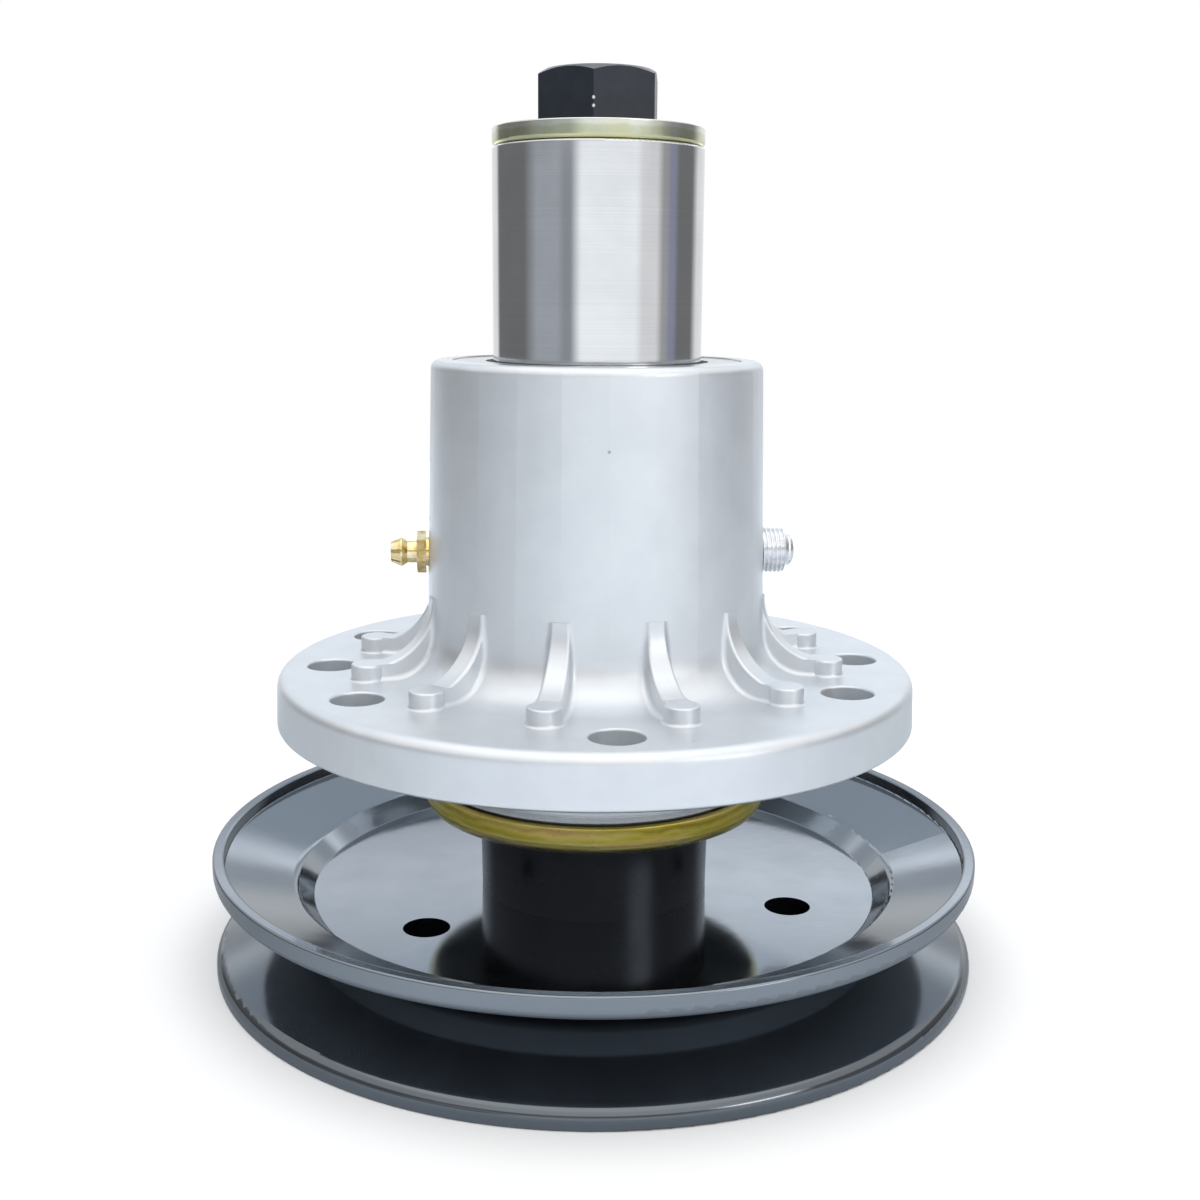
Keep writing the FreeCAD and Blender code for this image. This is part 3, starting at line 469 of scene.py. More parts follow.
@dataclass(frozen=True)
class CastAluminium(Finish):
    """Blasted die casting: fine grain, soft waves, a few dark pits, turned at both ends."""

    skin: Colour = (0.755, 0.78, 0.805)
    shade: Colour = (0.70, 0.725, 0.755)
    turned: Colour = (0.92, 0.93, 0.94)
    edge: Colour = (0.88, 0.90, 0.92)
    pit: Colour = (0.30, 0.29, 0.28)
    cloud: float = 11.0
    grain: float = 0.28
    grain_depth: float = 0.010
    wave: float = 7.0
    wave_depth: float = 0.10
    cast_smooth: float = 0.37
    cast_rough: float = 0.47
    pit_spread: float = 17.0
    pit_size: float = 0.020
    pit_fade: float = 1.6
    turned_below: float = 54.1
    turned_above: float = 131.7
    turned_border: float = 0.1
    cut_width: float = 0.16
    cut_depth: float = 0.004
    cut_limits: Limits = (0.2, 0.8)
    cut_smooth: float = 0.14
    cut_rough: float = 0.24
    metal: float = 0.78

    def turned_share(self, sheet: NodeSheet, height: Socket) -> Socket:
        """Gives 1 on the faces turned on a lathe, under the flange and on top, and 0 elsewhere.

        Args:
            sheet: the material's node tree.
            height: height in millimetres.

        Returns:
            The share of turned face.
        """
        ends = []
        for level, below, above in ((self.turned_below, 1.0, 0.0), (self.turned_above, 0.0, 1.0)):
            border = (level - self.turned_border, level + self.turned_border)
            ends.append(sheet.span(height, border, below, above))
        return sheet.maths("MAXIMUM", *ends)

    def paint(self, sheet: NodeSheet) -> None:
        """Builds the nodes of the cast skin and of the turned faces.

        Args:
            sheet: the material's node tree.
        """
        place = sheet.millimetres()
        turned = self.turned_share(sheet, sheet.split(place)[2])
        cast = sheet.maths("SUBTRACT", 1.0, turned)
        clouds = sheet.noise(place, self.cloud, Layers.CLOUDY)
        skin = sheet.shades(clouds, sheet.CLOUD_SPREAD, self.shade, self.skin)
        cuts = sheet.noise(sheet.lathe(place), self.cut_width, Layers.SMOOTH)
        cut_colour = sheet.shades(cuts, self.cut_limits, self.shade, self.turned)
        pit_limits = (self.pit_size, self.pit_size * self.pit_fade)
        spots = sheet.span(sheet.cells(place, self.pit_spread), pit_limits, 1.0, 0.0)
        pits = sheet.maths("MULTIPLY", spots, cast)
        body = sheet.mix(turned, skin, cut_colour)
        sheet.send("Base Color", sheet.mix(pits, body, self.pit))
        grain = sheet.noise(place, self.grain, Layers.GRAINY)
        cast_gloss = sheet.gloss(grain, self.cast_smooth, self.cast_rough)
        cut_gloss = sheet.gloss(cuts, self.cut_smooth, self.cut_rough)
        sheet.send("Roughness", sheet.mix(turned, cast_gloss, cut_gloss, Blend.NUMBERS))
        waves = sheet.noise(place, self.wave, Layers.SMOOTH)
        sheet.relief(
            (sheet.maths("MULTIPLY", waves, cast), self.wave_depth),
            (sheet.maths("MULTIPLY", grain, cast), self.grain_depth),
            (sheet.maths("MULTIPLY", cuts, turned), self.cut_depth),
        )
        sheet.set(Metallic=self.metal, Specular_Tint=(*self.edge, 1.0))


@dataclass(frozen=True)
class TurnedSteel(Finish):
    """Steel with the fine rings that a lathe or a grinding wheel leaves round the spindle axis."""

    bright: Colour
    dull: Colour
    smooth: float = 0.10
    rough: float = 0.18
    ring_width: float = 0.12
    ring_depth: float = 0.0012
    cloud: float = 9.0
    tone_limits: Limits = (0.35, 0.65)

    def paint(self, sheet: NodeSheet) -> None:
        """Builds the nodes of the rings, of faint clouds and of the gloss.

        Args:
            sheet: the material's node tree.
        """
        place = sheet.millimetres()
        rings = sheet.noise(sheet.lathe(place), self.ring_width, Layers.RINGED)
        tone = sheet.average(rings, sheet.noise(place, self.cloud, Layers.BLOTCHED))
        sheet.send("Base Color", sheet.shades(tone, self.tone_limits, self.dull, self.bright))
        sheet.send("Roughness", sheet.span(tone, sheet.CLOUD_SPREAD, self.rough, self.smooth))
        sheet.relief((rings, self.ring_depth))
        sheet.set(Metallic=1.0)


@dataclass(frozen=True)
class ZincPlate(Finish):
    """Zinc plate with a clear or yellow passivate, whose tint drifts across the piece."""

    tints: tuple[Stop, ...]
    drift: float
    smooth: float
    rough: float
    squeeze: Point = (1.0, 1.0, 1.0)
    grain: float = 0.5
    grain_depth: float = 0.003

    def tone(self, sheet: NodeSheet, place: Socket) -> Socket:
        """Gives the plate's colour from where its tint has drifted to."""
        drift = sheet.noise(sheet.stretched(place, self.squeeze), self.drift, Layers.DRIFTED)
        return sheet.hues(drift, self.tints)

    def paint(self, sheet: NodeSheet) -> None:
        """Builds the nodes of the drifting tint, of the plate's fine grain and of its gloss.

        Args:
            sheet: the material's node tree.
        """
        place = sheet.millimetres()
        sheet.send("Base Color", self.tone(sheet, place))
        grain = sheet.noise(place, self.grain, Layers.GRAINY)
        sheet.send("Roughness", sheet.gloss(grain, self.smooth, self.rough))
        sheet.relief((grain, self.grain_depth))
        sheet.set(Metallic=1.0)


@dataclass(frozen=True)
class BandedPlate(ZincPlate):
    """Zinc plate in bands between two heights, as a drained passivate leaves them; the band
    colours can also hold a painted highlight.
    """

    heights: Limits = (0.0, 1.0)
    bands: tuple[Stop, ...] = ()
    wave: float = 5.0
    wave_share: float = 0.35
    tint_share: float = 0.45

    def tone(self, sheet: NodeSheet, place: Socket) -> Socket:
        """Gives the bands by height, with wavy borders, mixed with the drifting tint.

        Args:
            sheet: the material's node tree.
            place: place in millimetres.

        Returns:
            The plate's colour.
        """
        wave = sheet.maths("SUBTRACT", sheet.noise(place, self.wave), 0.5)
        height = sheet.span(sheet.split(place)[2], self.heights, 0.0, 1.0)
        bands = sheet.hues(sheet.maths("MULTIPLY_ADD", wave, self.wave_share, height), self.bands)
        return sheet.mix(self.tint_share, bands, super().tone(sheet, place))


@dataclass(frozen=True)
class CupPlate(BandedPlate):
    """Plate on a pressed cup: tinted in bands round its wall, with painted shade that darkens the
    face below.
    """

    # Colour of the painted shade on the face that points down.
    dull: Colour = (0.035, 0.032, 0.022)
    below_limits: Limits = (-0.97, -0.88)

    def tone(self, sheet: NodeSheet, place: Socket) -> Socket:
        """Gives the banded tone, with painted shade where the cup faces down."""
        # Painted shade: faces pointing down are mixed towards the dark colour.
        below = sheet.span(sheet.facing(), self.below_limits, 1.0, 0.0)
        return sheet.mix(below, super().tone(sheet, place), self.dull)


@dataclass(frozen=True)
class PowderCoat(Finish):
    """Gloss black powder coat: orange peel, haze and dust, and duller where it faces down."""

    coat: Colour = (0.0035, 0.0037, 0.0050)
    haze: Colour = (0.0085, 0.0090, 0.0115)
    cloud: float = 14.0
    haze_limits: Limits = (0.35, 0.7)
    dust: Colour = (0.10, 0.10, 0.11)
    dust_spread: float = 9.0
    dust_limits: Limits = (0.010, 0.018)
    dust_share: float = 0.6
    peel: float = 2.6
    peel_depth: float = 0.006
    smooth: float = 0.07
    rough: float = 0.13
    sheltered: float = 0.4
    below_limits: Limits = (-0.35, -0.15)
    index: float = 3.2
    gleam: Colour = (0.82, 0.91, 1.0)

    def paint(self, sheet: NodeSheet) -> None:
        """Builds the nodes of the coat, its haze, its dust and its orange peel.

        Args:
            sheet: the material's node tree.
        """
        place = sheet.millimetres()
        clouds = sheet.noise(place, self.cloud, Layers.CLOUDY)
        coat = sheet.shades(clouds, self.haze_limits, self.coat, self.haze)
        specks = sheet.cells(place, self.dust_spread)
        dusty = sheet.span(specks, self.dust_limits, self.dust_share, 0.0)
        sheet.send("Base Color", sheet.mix(dusty, coat, self.dust))
        gloss = sheet.span(clouds, sheet.CLOUD_SPREAD, self.smooth, self.rough)
        thin = sheet.span(sheet.facing(), self.below_limits, self.sheltered, 0.0)
        sheet.send("Roughness", sheet.maths("ADD", gloss, thin))
        sheet.relief((sheet.noise(place, self.peel), self.peel_depth))
        sheet.set(Metallic=0.0, IOR=self.index, Specular_Tint=(*self.gleam, 1.0))


@dataclass(frozen=True)
class BlackOxide(Finish):
    """Forged and blackened steel: blue-black, with painted light that greys the faces pointing up,
    and two painted highlights on one corner.
    """

    deep: Colour = (0.006, 0.011, 0.021)
    worn: Colour = (0.016, 0.020, 0.031)
    # Grey of the painted light on faces that point up.
    painted_top_light: Colour = (0.130, 0.131, 0.138)
    # Colour of the two painted highlights on the corner.
    bright: Colour = (0.85, 0.87, 0.90)
    cloud: float = 3.5
    wall_limits: Limits = (0.3, 0.75)
    top_limits: Limits = (0.0, 0.6)
    above_limits: Limits = (0.2, 0.5)
    grain: float = 0.6
    grain_depth: float = 0.010
    smooth: float = 0.30
    rough: float = 0.42
    index: float = 1.5
    # Centres of the two painted highlights on one corner, in millimetres.
    painted_glints: tuple[Point, ...] = ((-2.03, -13.59, 184.0), (-2.03, -13.59, 182.4))
    glint_limits: Limits = (0.18, 0.42)

    def paint(self, sheet: NodeSheet) -> None:
        """Builds the nodes of the oxide's tone, its painted top light, grain, satin gloss and
        painted corner highlights.

        Args:
            sheet: the material's node tree.
        """
        place = sheet.millimetres()
        clouds = sheet.noise(place, self.cloud, Layers.CLOUDY)
        wall = sheet.shades(clouds, self.wall_limits, self.deep, self.worn)
        # Painted light: faces pointing up turn greyer, as if lit from above.
        top = sheet.shades(clouds, self.top_limits, self.worn, self.painted_top_light)
        oxide = sheet.mix(sheet.span(sheet.facing(), self.above_limits, 0.0, 1.0), wall, top)
        # Painted highlights: two small near-white spots on the corner.
        for glint in self.painted_glints:
            near = sheet.span(sheet.distance(place, glint), self.glint_limits, 1.0, 0.0)
            oxide = sheet.mix(near, oxide, self.bright)
        sheet.send("Base Color", oxide)
        grain = sheet.noise(place, self.grain, Layers.GRAINY)
        sheet.send("Roughness", sheet.gloss(grain, self.smooth, self.rough))
        sheet.relief((grain, self.grain_depth))
        sheet.set(Metallic=0.0, IOR=self.index)


@dataclass(frozen=True)
class Moulding(Finish):
    """Moulded rubber or nylon with a fine skin."""

    colour: Colour
    light: Colour
    smooth: float
    rough: float
    cloud: float = 2.0
    grain: float = 0.2
    grain_depth: float = 0.004

    def paint(self, sheet: NodeSheet) -> None:
        """Builds the nodes of the moulding's tone and skin.

        Args:
            sheet: the material's node tree.
        """
        place = sheet.millimetres()
        clouds = sheet.noise(place, self.cloud, Layers.BLOTCHED)
        sheet.send("Base Color", sheet.shades(clouds, sheet.CLOUD_SPREAD, self.colour, self.light))
        grain = sheet.noise(place, self.grain)
        sheet.send("Roughness", sheet.gloss(grain, self.smooth, self.rough))
        sheet.relief((grain, self.grain_depth))
        sheet.set(Metallic=0.0)


OLIVE_GOLD: tuple[Stop, ...] = (
    (0.30, (0.34, 0.30, 0.02)),
    (0.44, (0.56, 0.48, 0.06)),
    (0.54, (0.76, 0.64, 0.20)),
    (0.62, (0.80, 0.50, 0.20)),
    (0.70, (0.74, 0.47, 0.40)),
)
PALE_GREEN: tuple[Stop, ...] = (
    (0.32, (0.50, 0.53, 0.36)),
    (0.50, (0.62, 0.65, 0.50)),
    (0.62, (0.68, 0.67, 0.42)),
    (0.74, (0.66, 0.55, 0.40)),
)
# Washer bands from lower face to upper: yellow and green tint, then a whitish painted highlight of
# the rounded upper edge.
DRAINED_AND_PAINTED_HIGHLIGHT: tuple[Stop, ...] = (
    (0.06, (0.62, 0.55, 0.22)),
    (0.26, (0.52, 0.54, 0.36)),
    (0.58, (0.56, 0.59, 0.47)),
    (0.74, (0.84, 0.85, 0.84)),
)
# Cup bands from floor to rim: the two near-white stops at the bottom are a painted highlight on
# the rolled lower bend; the rest are streaks of the yellow passivate.
ROUND_THE_CUP: tuple[Stop, ...] = (
    (0.04, (1.00, 0.98, 0.88)),
    (0.16, (0.96, 0.92, 0.66)),
    (0.24, (0.36, 0.32, 0.12)),
    (0.38, (0.84, 0.72, 0.26)),
    (0.50, (0.64, 0.47, 0.06)),
    (0.66, (0.84, 0.66, 0.16)),
    (0.82, (0.40, 0.25, 0.04)),
    (0.95, (0.72, 0.54, 0.13)),
)
GOLD: tuple[Stop, ...] = (
    (0.32, (0.54, 0.38, 0.12)),
    (0.46, (0.84, 0.65, 0.28)),
    (0.58, (0.93, 0.77, 0.48)),
    (0.70, (0.92, 0.88, 0.72)),
)
SILVER: tuple[Stop, ...] = (
    (0.32, (0.78, 0.79, 0.81)),
    (0.68, (0.92, 0.93, 0.95)),
)


@dataclass(frozen=True)
class Covering:
    """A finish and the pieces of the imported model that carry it."""

    finish: Finish
    nodes: tuple[str, ...]

    def dress(self, frame_nodes: dict[str, bpy.types.Object]) -> None:
        """Puts the finish in every material slot of its nodes.

        Args:
            frame_nodes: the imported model's objects by name.
        """
        for name in self.nodes:
            for slot in frame_nodes[name].material_slots:
                slot.material = self.finish.material()
            LOG.info("dressed %s in %s", name, self.finish.name)


@dataclass
class SubAssembly(ABC):
    """A group of pieces that are bought, fitted or seen together."""

    added: list[bpy.types.Object] = field(default_factory=list, init=False)

    @abstractmethod
    def coverings(self) -> tuple[Covering, ...]:
        """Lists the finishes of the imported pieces."""

    def build(self) -> None:
        """Builds the finer surfaces, where the sub-assembly has any."""

    def finish(self, frame_nodes: dict[str, bpy.types.Object]) -> None:
        """Builds the sub-assembly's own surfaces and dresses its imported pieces.

        Args:
            frame_nodes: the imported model's objects by name.
        """
        for covering in self.coverings():
            covering.dress(frame_nodes)
        self.build()
        for piece in self.added:
            LOG.info("built %s with %d faces", piece.name, len(piece.data.polygons))

    def place(
        self,
        piece: bpy.types.Object,
        finish: Finish,
        body: str,
        slot: str,
        replaced: tuple[str, ...] = (),
    ) -> None:
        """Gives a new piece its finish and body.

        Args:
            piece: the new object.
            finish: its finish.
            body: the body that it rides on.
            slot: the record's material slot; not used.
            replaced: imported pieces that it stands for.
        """
        piece.data.materials.append(finish.material())
        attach(piece, body)
        if replaced:
            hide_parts(*replaced)
        self.added.append(piece)


@dataclass
class Housing(SubAssembly):
    """Ribbed casting with its grease fitting, its port plug and the shaft seal."""

    port_level: float = 90.2
    plug_radius: float = 5.0
    plug_pitch: float = 0.94
    plug_thread: float = 0.34
    plug_chamfer: float = 1.0
    plug_chamfer_drop: float = 1.35
    plug_dome: float = 1.8
    plug_crest: float = 1.5
    plug_rows: int = 260
    plug_columns: int = 96
    alloy: Finish = CastAluminium("cast_aluminium")
    fitting: Finish = ZincPlate("fitting_zinc", GOLD, drift=2.2, smooth=0.10, rough=0.20)
    plug: Finish = ZincPlate("plug_zinc", SILVER, drift=1.5, smooth=0.18, rough=0.30)
    spring: Finish = TurnedSteel("spring_steel", (0.42, 0.42, 0.43), (0.32, 0.32, 0.33))
    ball: Finish = TurnedSteel(
        "bright_steel", (0.80, 0.80, 0.80), (0.74, 0.74, 0.74), smooth=0.04, rough=0.08
    )
    seal_case: Finish = TurnedSteel(
        "seal_steel", (0.66, 0.67, 0.68), (0.56, 0.57, 0.58), smooth=0.22, rough=0.34
    )
    seal_lip: Finish = Moulding(
        "seal_rubber", (0.016, 0.016, 0.018), (0.026, 0.026, 0.028), smooth=0.42, rough=0.58
    )

    def coverings(self) -> tuple[Covering, ...]:
        """Lists the finishes of the casting, its fitting, its seal and its ring."""
        return (
            Covering(self.alloy, ("spindle_housing",)),
            Covering(self.fitting, ("grease_fitting_body",)),
            Covering(self.spring, ("grease_fitting_spring", "retaining_ring")),
            Covering(self.ball, ("grease_fitting_ball",)),
            Covering(self.plug, ("port_plug",)),
            Covering(self.seal_case, ("blade_seal_case",)),
            Covering(self.seal_lip, ("blade_seal_lip",)),
        )

    def build(self) -> None:
        """Builds the threaded port plug, which stands for the plain one."""
        piece = surface("port_plug_threaded", self.plug_points())
        self.place(piece, self.plug, "housing", "plug_zinc", ("port_plug",))

    def plug_points(self) -> np.ndarray:
        """Works out the plug's surface.

        A point goes round X by its angle, at a radius that falls from the plug's own by the
        depth of a thread: half of one plus the cosine of its phase, raised to a power that
        sharpens the groove. The phase grows by a turn with each pitch along X. The thread
        fades in over the first pitch and out along the end chamfer, and a shallow dome
        closes the end.

        Returns:
            Points in metres, by row along X and column round it.
        """
        low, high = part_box("port_plug")
        start, tip = low.x / MM, high.x / MM
        dome = tip - self.plug_dome
        shoulder = dome - self.plug_chamfer
        dome_radius = self.plug_radius - self.plug_chamfer_drop
        along = np.linspace(start, tip, self.plug_rows)[:, None]
        angle = np.linspace(0.0, FULL_TURN, self.plug_columns, endpoint=False)[None, :]
        chamfer = np.clip((along - shoulder) / self.plug_chamfer, 0.0, 1.0)
        envelope = self.plug_radius - chamfer * self.plug_chamfer_drop
        rise = np.clip((along - dome) / self.plug_dome, 0.0, 1.0)
        envelope = np.where(rise > 0.0, dome_radius * np.sqrt(1.0 - rise**2), envelope)
        phase = along / self.plug_pitch - angle / FULL_TURN
        groove = (0.5 + 0.5 * np.cos(FULL_TURN * phase)) ** self.plug_crest
        run_in = np.clip((along - start) / self.plug_pitch, 0.0, 1.0)
        radius = envelope - self.plug_thread * (1.0 - chamfer) * run_in * groove
        across = radius * np.cos(angle)
        up = self.port_level + radius * np.sin(angle)
        points = np.stack(np.broadcast_arrays(along, across, up), axis=-1) * MM
        foot = np.broadcast_to(np.array((start, 0.0, self.port_level)) * MM, points[:1].shape)
        return np.concatenate((foot, points), axis=0)


@dataclass
class Bearings(SubAssembly):
    """Both ball bearings: rings, balls, cages and shields."""

    race: Finish = TurnedSteel(
        "bearing_steel", (0.70, 0.71, 0.72), (0.62, 0.63, 0.64), smooth=0.08, rough=0.16
    )
    cage: Finish = Moulding(
        "cage_nylon", (0.56, 0.50, 0.34), (0.62, 0.56, 0.40), smooth=0.37, rough=0.53
    )
    shield: Finish = TurnedSteel(
        "bearing_shield", (0.60, 0.61, 0.62), (0.50, 0.51, 0.52), smooth=0.22, rough=0.32
    )

    def coverings(self) -> tuple[Covering, ...]:
        """Lists the finishes of the pieces of both bearings.

        Returns:
            A covering each for the hard steel, the cages and the shields.
        """
        ends = ("lower", "upper")
        hard = ("inner_ring", "outer_ring", "balls")
        rings = tuple(f"{end}_bearing_{ring}" for end in ends for ring in hard)
        return (
            Covering(self.race, rings),
            Covering(self.cage, tuple(f"{end}_bearing_cage" for end in ends)),
            Covering(self.shield, tuple(f"{end}_bearing_shield" for end in ends)),
        )


@dataclass
class Rotor(SubAssembly):
    """Shaft with what is clamped on it at the blade end, and the inner spacer."""

    shaft: Finish = TurnedSteel(
        "ground_steel", (0.62, 0.63, 0.64), (0.54, 0.55, 0.56), smooth=0.16, rough=0.26
    )
    sleeve: Finish = TurnedSteel(
        "polished_steel", (0.72, 0.73, 0.75), (0.64, 0.65, 0.67), smooth=0.06, rough=0.12
    )
    bolt: Finish = BlackOxide("black_oxide")

    def washer(self) -> Finish:
        """Gives the washer's finish, whose bands run from its lower face to a painted highlight on
        its upper edge.
        """
        low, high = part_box("blade_washer")
        return BandedPlate(
            "washer_zinc", PALE_GREEN, drift=7.0, smooth=0.14, rough=0.24,
            heights=(low.z / MM, high.z / MM), bands=DRAINED_AND_PAINTED_HIGHLIGHT,
        )

    def coverings(self) -> tuple[Covering, ...]:
        """Lists the finishes of the shaft, the sleeve, the washer and the bolt."""
        return (
            Covering(self.shaft, ("spindle_shaft", "bearing_spacer", "pulley_key")),
            Covering(self.sleeve, ("blade_spacer",)),
            Covering(self.washer(), ("blade_washer",)),
            Covering(self.bolt, ("blade_bolt",)),
        )


@dataclass
class Pulley(SubAssembly):
    """Pressed pulley with its welded hub, nut, washer and yellow dust cap."""

    bead_ripples: int = 72
    bead_leg: float = 2.2
    bead_wave: float = 0.10
    bead_lean: float = 0.6
    bead_rows: int = 10
    bead_columns: int = 864
    hub_tail_radius: float = 22.0
    web_over_tail: float = 2.0
    coat: Finish = PowderCoat("black_powder_coat")
    # Painted shade: a less reflective copy of the pulley coat for the lower half, standing in for
    # the shade near the floor.
    shaded_lower_coat: Finish = PowderCoat("shaded_lower_powder_coat", smooth=0.11, rough=0.16, index=2.35)
    hub_coat: Finish = PowderCoat(
        "hub_powder_coat", smooth=0.22, rough=0.30, index=1.58, gleam=(0.9, 0.95, 1.0)
    )
    nut: Finish = ZincPlate("nut_zinc", OLIVE_GOLD, drift=5.0, smooth=0.22, rough=0.34)

    def cap(self) -> Finish:
        """Gives the dust cap's finish, whose bands run from its floor to its rim, with a painted
        highlight on the lower bend.
        """
        low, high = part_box("dust_cap")
        return CupPlate(
            "yellow_zinc", OLIVE_GOLD, drift=8.0, smooth=0.26, rough=0.38,
            squeeze=(0.4, 0.4, 3.2), heights=(low.z / MM, high.z / MM), bands=ROUND_THE_CUP,
        )

    def coverings(self) -> tuple[Covering, ...]:
        """Lists the finishes of the pulley, the hub, the cap, the washer and the nut."""
        return (
            Covering(self.coat, ("pulley_upper_half",)),
            Covering(self.shaded_lower_coat, ("pulley_lower_half",)),
            Covering(self.hub_coat, ("pulley_hub",)),
            Covering(self.cap(), ("dust_cap",)),
            Covering(self.nut, ("hub_nut", "hub_washer")),
        )

    def build(self) -> None:
        """Builds the rippled weld bead under the web."""
        piece = surface("hub_weld_bead", self.bead_points())
        self.place(piece, self.coat, "rotor", "black_powder_coat")

    def bead_points(self) -> np.ndarray:
        """Works out the weld bead's surface.

        A quarter round from the web down to the hub's tail is carried round the axis. Its
        radius swells and shrinks a little with each ripple, and the ripples lean, because
        their phase also moves with the place on the quarter round. A first and a last row
        in the corner of web and hub close it.

        Returns:
            Points in metres, by row across the bead and column round the axis.
        """
        low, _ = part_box("pulley_hub")
        web = low.z / MM + self.web_over_tail
        sweep = np.linspace(0.0, 0.5 * math.pi, self.bead_rows)[:, None]
        angle = np.linspace(0.0, FULL_TURN, self.bead_columns, endpoint=False)[None, :]
        phase = self.bead_ripples * angle + self.bead_lean * FULL_TURN * np.sin(sweep)
        leg = self.bead_leg * (1.0 + self.bead_wave * np.sin(2.0 * sweep) * np.cos(phase))
        radius = self.hub_tail_radius + leg * np.cos(sweep)
        height = web - leg * np.sin(sweep)
        radius = np.pad(radius, ((1, 1), (0, 0)), constant_values=self.hub_tail_radius)
        height = np.pad(height, ((1, 1), (0, 0)), constant_values=web)
        return np.stack((radius * np.cos(angle), radius * np.sin(angle), height), axis=-1) * MM


@dataclass(frozen=True)
class Panel:
    """One stretch of the surroundings, by angle in degrees from the front, with its light."""

    start: float
    end: float
    level: float
    tint: Colour = WHITE


@dataclass(frozen=True)
class Belt:
    """Panels right round the studio, which set in between two heights of view in degrees."""

    starts: float
    full: float
    panels: tuple[Panel, ...]


def band(panels: tuple[Panel, ...]) -> tuple[Stop, ...]:
    """Lists the two ends of each panel on a band from 0 to 1 right round the part.

    Args:
        panels: the panels, from the back round by the left, the front and the right.

    Returns:
        The stops of the band.
    """
    stops = []
    for panel in panels:
        colour = tuple(panel.level * part for part in panel.tint)
        stops.extend((edge / 360.0 + 0.5, colour) for edge in (panel.start, panel.end))
    return tuple(stops)


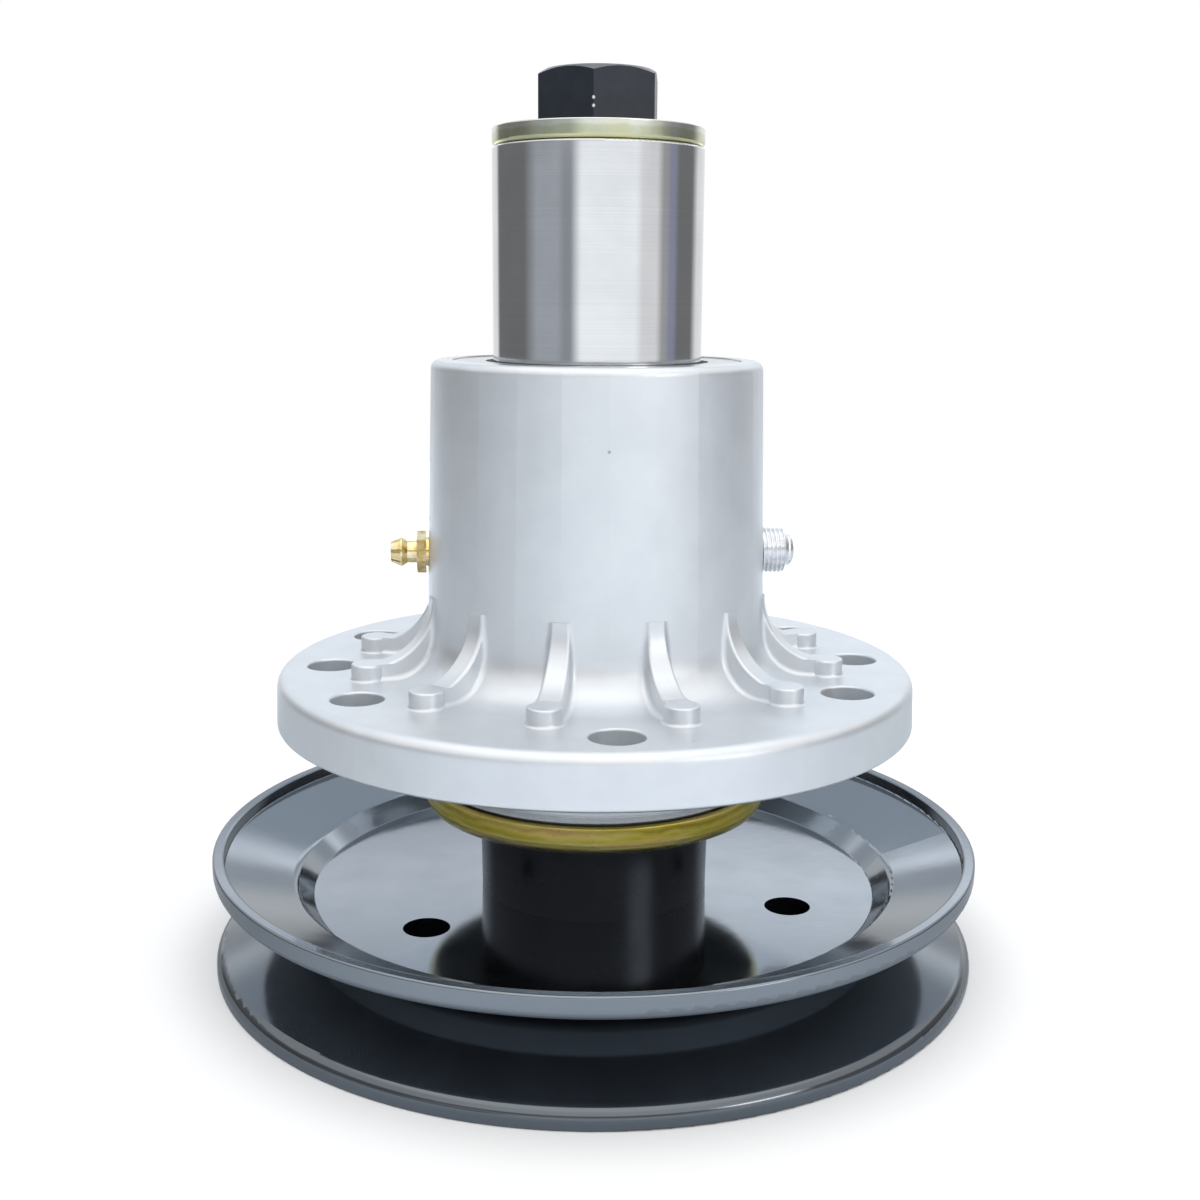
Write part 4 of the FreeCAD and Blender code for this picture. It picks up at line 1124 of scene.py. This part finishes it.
@dataclass(frozen=True)
class Studio:
    """Floor, soft surroundings and the camera at the photograph's viewpoint."""

    eye: Point = (-0.0236, -0.3268, 0.1457)
    forward: Point = (0.0735, 0.9772, -0.1992)
    roll_degrees: float = 0.40
    lens: float = 45.25
    sensor: float = 36.0
    nearest: float = 0.01
    farthest: float = 20.0
    floor_half: float = 1.0
    waist: tuple[Panel, ...] = (
        Panel(-180.0, -146.0, 0.90),
        Panel(-139.0, -90.0, 0.19),
        Panel(-73.0, -48.0, 0.46, (0.94, 1.0, 1.08)),
        Panel(-40.0, -33.0, 0.34, (0.94, 1.0, 1.08)),
        Panel(-22.0, 37.0, 1.16, (0.97, 1.0, 1.02)),
        Panel(45.0, 62.0, 0.88),
        Panel(70.0, 75.0, 0.42),
        Panel(80.0, 86.0, 0.34, (0.92, 0.95, 1.25)),
        Panel(93.0, 118.0, 0.20),
        Panel(132.0, 180.0, 0.90),
    )
    over_waist: tuple[Belt, ...] = (
        Belt(5.0, 9.0, (
            Panel(-180.0, -150.0, 1.20),
            Panel(-138.0, -60.0, 0.25),
            Panel(-40.0, 30.0, 0.80),
            Panel(37.0, 49.0, 1.00),
            Panel(56.0, 62.0, 0.35),
            Panel(75.0, 128.0, 0.30),
            Panel(142.0, 180.0, 1.20),
        )),
        Belt(12.0, 15.5, (
            Panel(-180.0, -145.0, 0.88, (0.94, 1.0, 1.07)),
            Panel(-130.0, -55.0, 0.30),
            Panel(-45.0, 28.0, 0.40),
            Panel(36.0, 50.0, 2.00),
            Panel(58.0, 120.0, 0.30),
            Panel(135.0, 180.0, 0.88, (0.94, 1.0, 1.07)),
        )),
        Belt(19.2, 21.0, (
            Panel(-180.0, -145.0, 1.62, (0.97, 1.0, 1.05)),
            Panel(-130.0, -55.0, 0.30),
            Panel(-45.0, 28.0, 0.35),
            Panel(36.0, 50.0, 8.00),
            Panel(58.0, 120.0, 0.30),
            Panel(135.0, 180.0, 2.00, (0.97, 1.0, 1.05)),
        )),
        Belt(22.3, 26.5, (
            Panel(-180.0, -140.0, 0.85, (0.90, 1.0, 1.12)),
            Panel(-115.0, -60.0, 1.05),
            Panel(-35.0, 35.0, 1.30),
            Panel(60.0, 115.0, 1.05),
            Panel(140.0, 180.0, 0.85, (0.90, 1.0, 1.12)),
        )),
        Belt(48.0, 60.0, (Panel(-180.0, 180.0, 1.60),)),
    )
    # Floor colour that the part sees, by angle: painted light at the back and painted shade at the
    # sides.
    painted_floor_round: tuple[Panel, ...] = (
        Panel(-180.0, -150.0, 1.50, (0.95, 1.0, 1.05)),
        Panel(-135.0, -80.0, 0.52, (0.95, 1.0, 1.05)),
        Panel(-35.0, 40.0, 0.88, (0.93, 1.0, 1.08)),
        Panel(85.0, 135.0, 0.60, (0.95, 1.0, 1.05)),
        Panel(150.0, 180.0, 1.50, (0.95, 1.0, 1.05)),
    )

    def build(self) -> None:
        """Builds the camera, the floor, the surroundings and the tone scale."""
        self.make_camera()
        self.make_floor()
        self.make_world()
        bpy.context.scene.view_settings.view_transform = "Standard"

    def make_camera(self) -> None:
        """Makes the scene's camera from its eye point, line of sight and roll."""
        data = bpy.data.cameras.new("photo_camera")
        data.lens = self.lens
        data.sensor_width = self.sensor
        data.clip_start = self.nearest
        data.clip_end = self.farthest
        camera = bpy.data.objects.new("photo_camera", data)
        bpy.context.scene.collection.objects.link(camera)
        turn = Vector(self.forward).to_track_quat("-Z", "Y").to_matrix().to_4x4()
        roll = Matrix.Rotation(math.radians(self.roll_degrees), 4, "Z")
        camera.matrix_world = Matrix.Translation(Vector(self.eye)) @ turn @ roll
        bpy.context.scene.camera = camera

    def make_floor(self) -> None:
        """Makes the pale floor: white to the camera, and to the part a colour painted lighter and
        darker by angle, a painted light and shade.
        """
        mesh = bpy.data.meshes.new("floor")
        half = self.floor_half
        corners = [(-half, -half, 0.0), (half, -half, 0.0), (half, half, 0.0), (-half, half, 0.0)]
        mesh.from_pydata(corners, [], [(0, 1, 2, 3)])
        floor = bpy.data.objects.new("floor", mesh)
        bpy.context.scene.collection.objects.link(floor)
        material = bpy.data.materials.new("floor_paper")
        sheet = NodeSheet(material)
        # Painted light and shade on the floor, seen only in reflections and bounced light.
        shaded = sheet.hues(sheet.compass(sheet.millimetres()), band(self.painted_floor_round))
        seen = sheet.add("ShaderNodeLightPath").outputs["Is Camera Ray"]
        sheet.send("Base Color", sheet.mix(seen, shaded, WHITE))
        sheet.set(Roughness=1.0, Specular_IOR_Level=0.0)
        mesh.materials.append(material)

    def make_world(self) -> None:
        """Makes the surroundings: belts of panels by angle, and white to the camera itself."""
        world = bpy.data.worlds.new("studio_surroundings")
        world.use_nodes = True
        bpy.context.scene.world = world
        sheet = WorldSheet(world)
        direction = sheet.direction()
        turn = sheet.compass(direction)
        rise = sheet.maths("ARCSINE", sheet.split(direction)[2])
        around = sheet.hues(turn, band(self.waist))
        for belt in self.over_waist:
            heights = (math.radians(belt.starts), math.radians(belt.full))
            share = sheet.span(rise, heights, 0.0, 1.0)
            around = sheet.mix(share, around, sheet.hues(turn, band(belt.panels)))
        seen = sheet.add("ShaderNodeLightPath").outputs["Is Camera Ray"]
        sheet.send("Color", sheet.mix(seen, around, WHITE))


def main() -> None:
    """Builds the scene."""
    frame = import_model()
    for assembly in (Housing(), Bearings(), Rotor(), Pulley()):
        assembly.finish(frame["nodes"])
        LOG.info("finished %s", type(assembly).__name__)
    Studio().build()


if __name__ == "__main__":
    logging.basicConfig(level=logging.INFO)
    main()
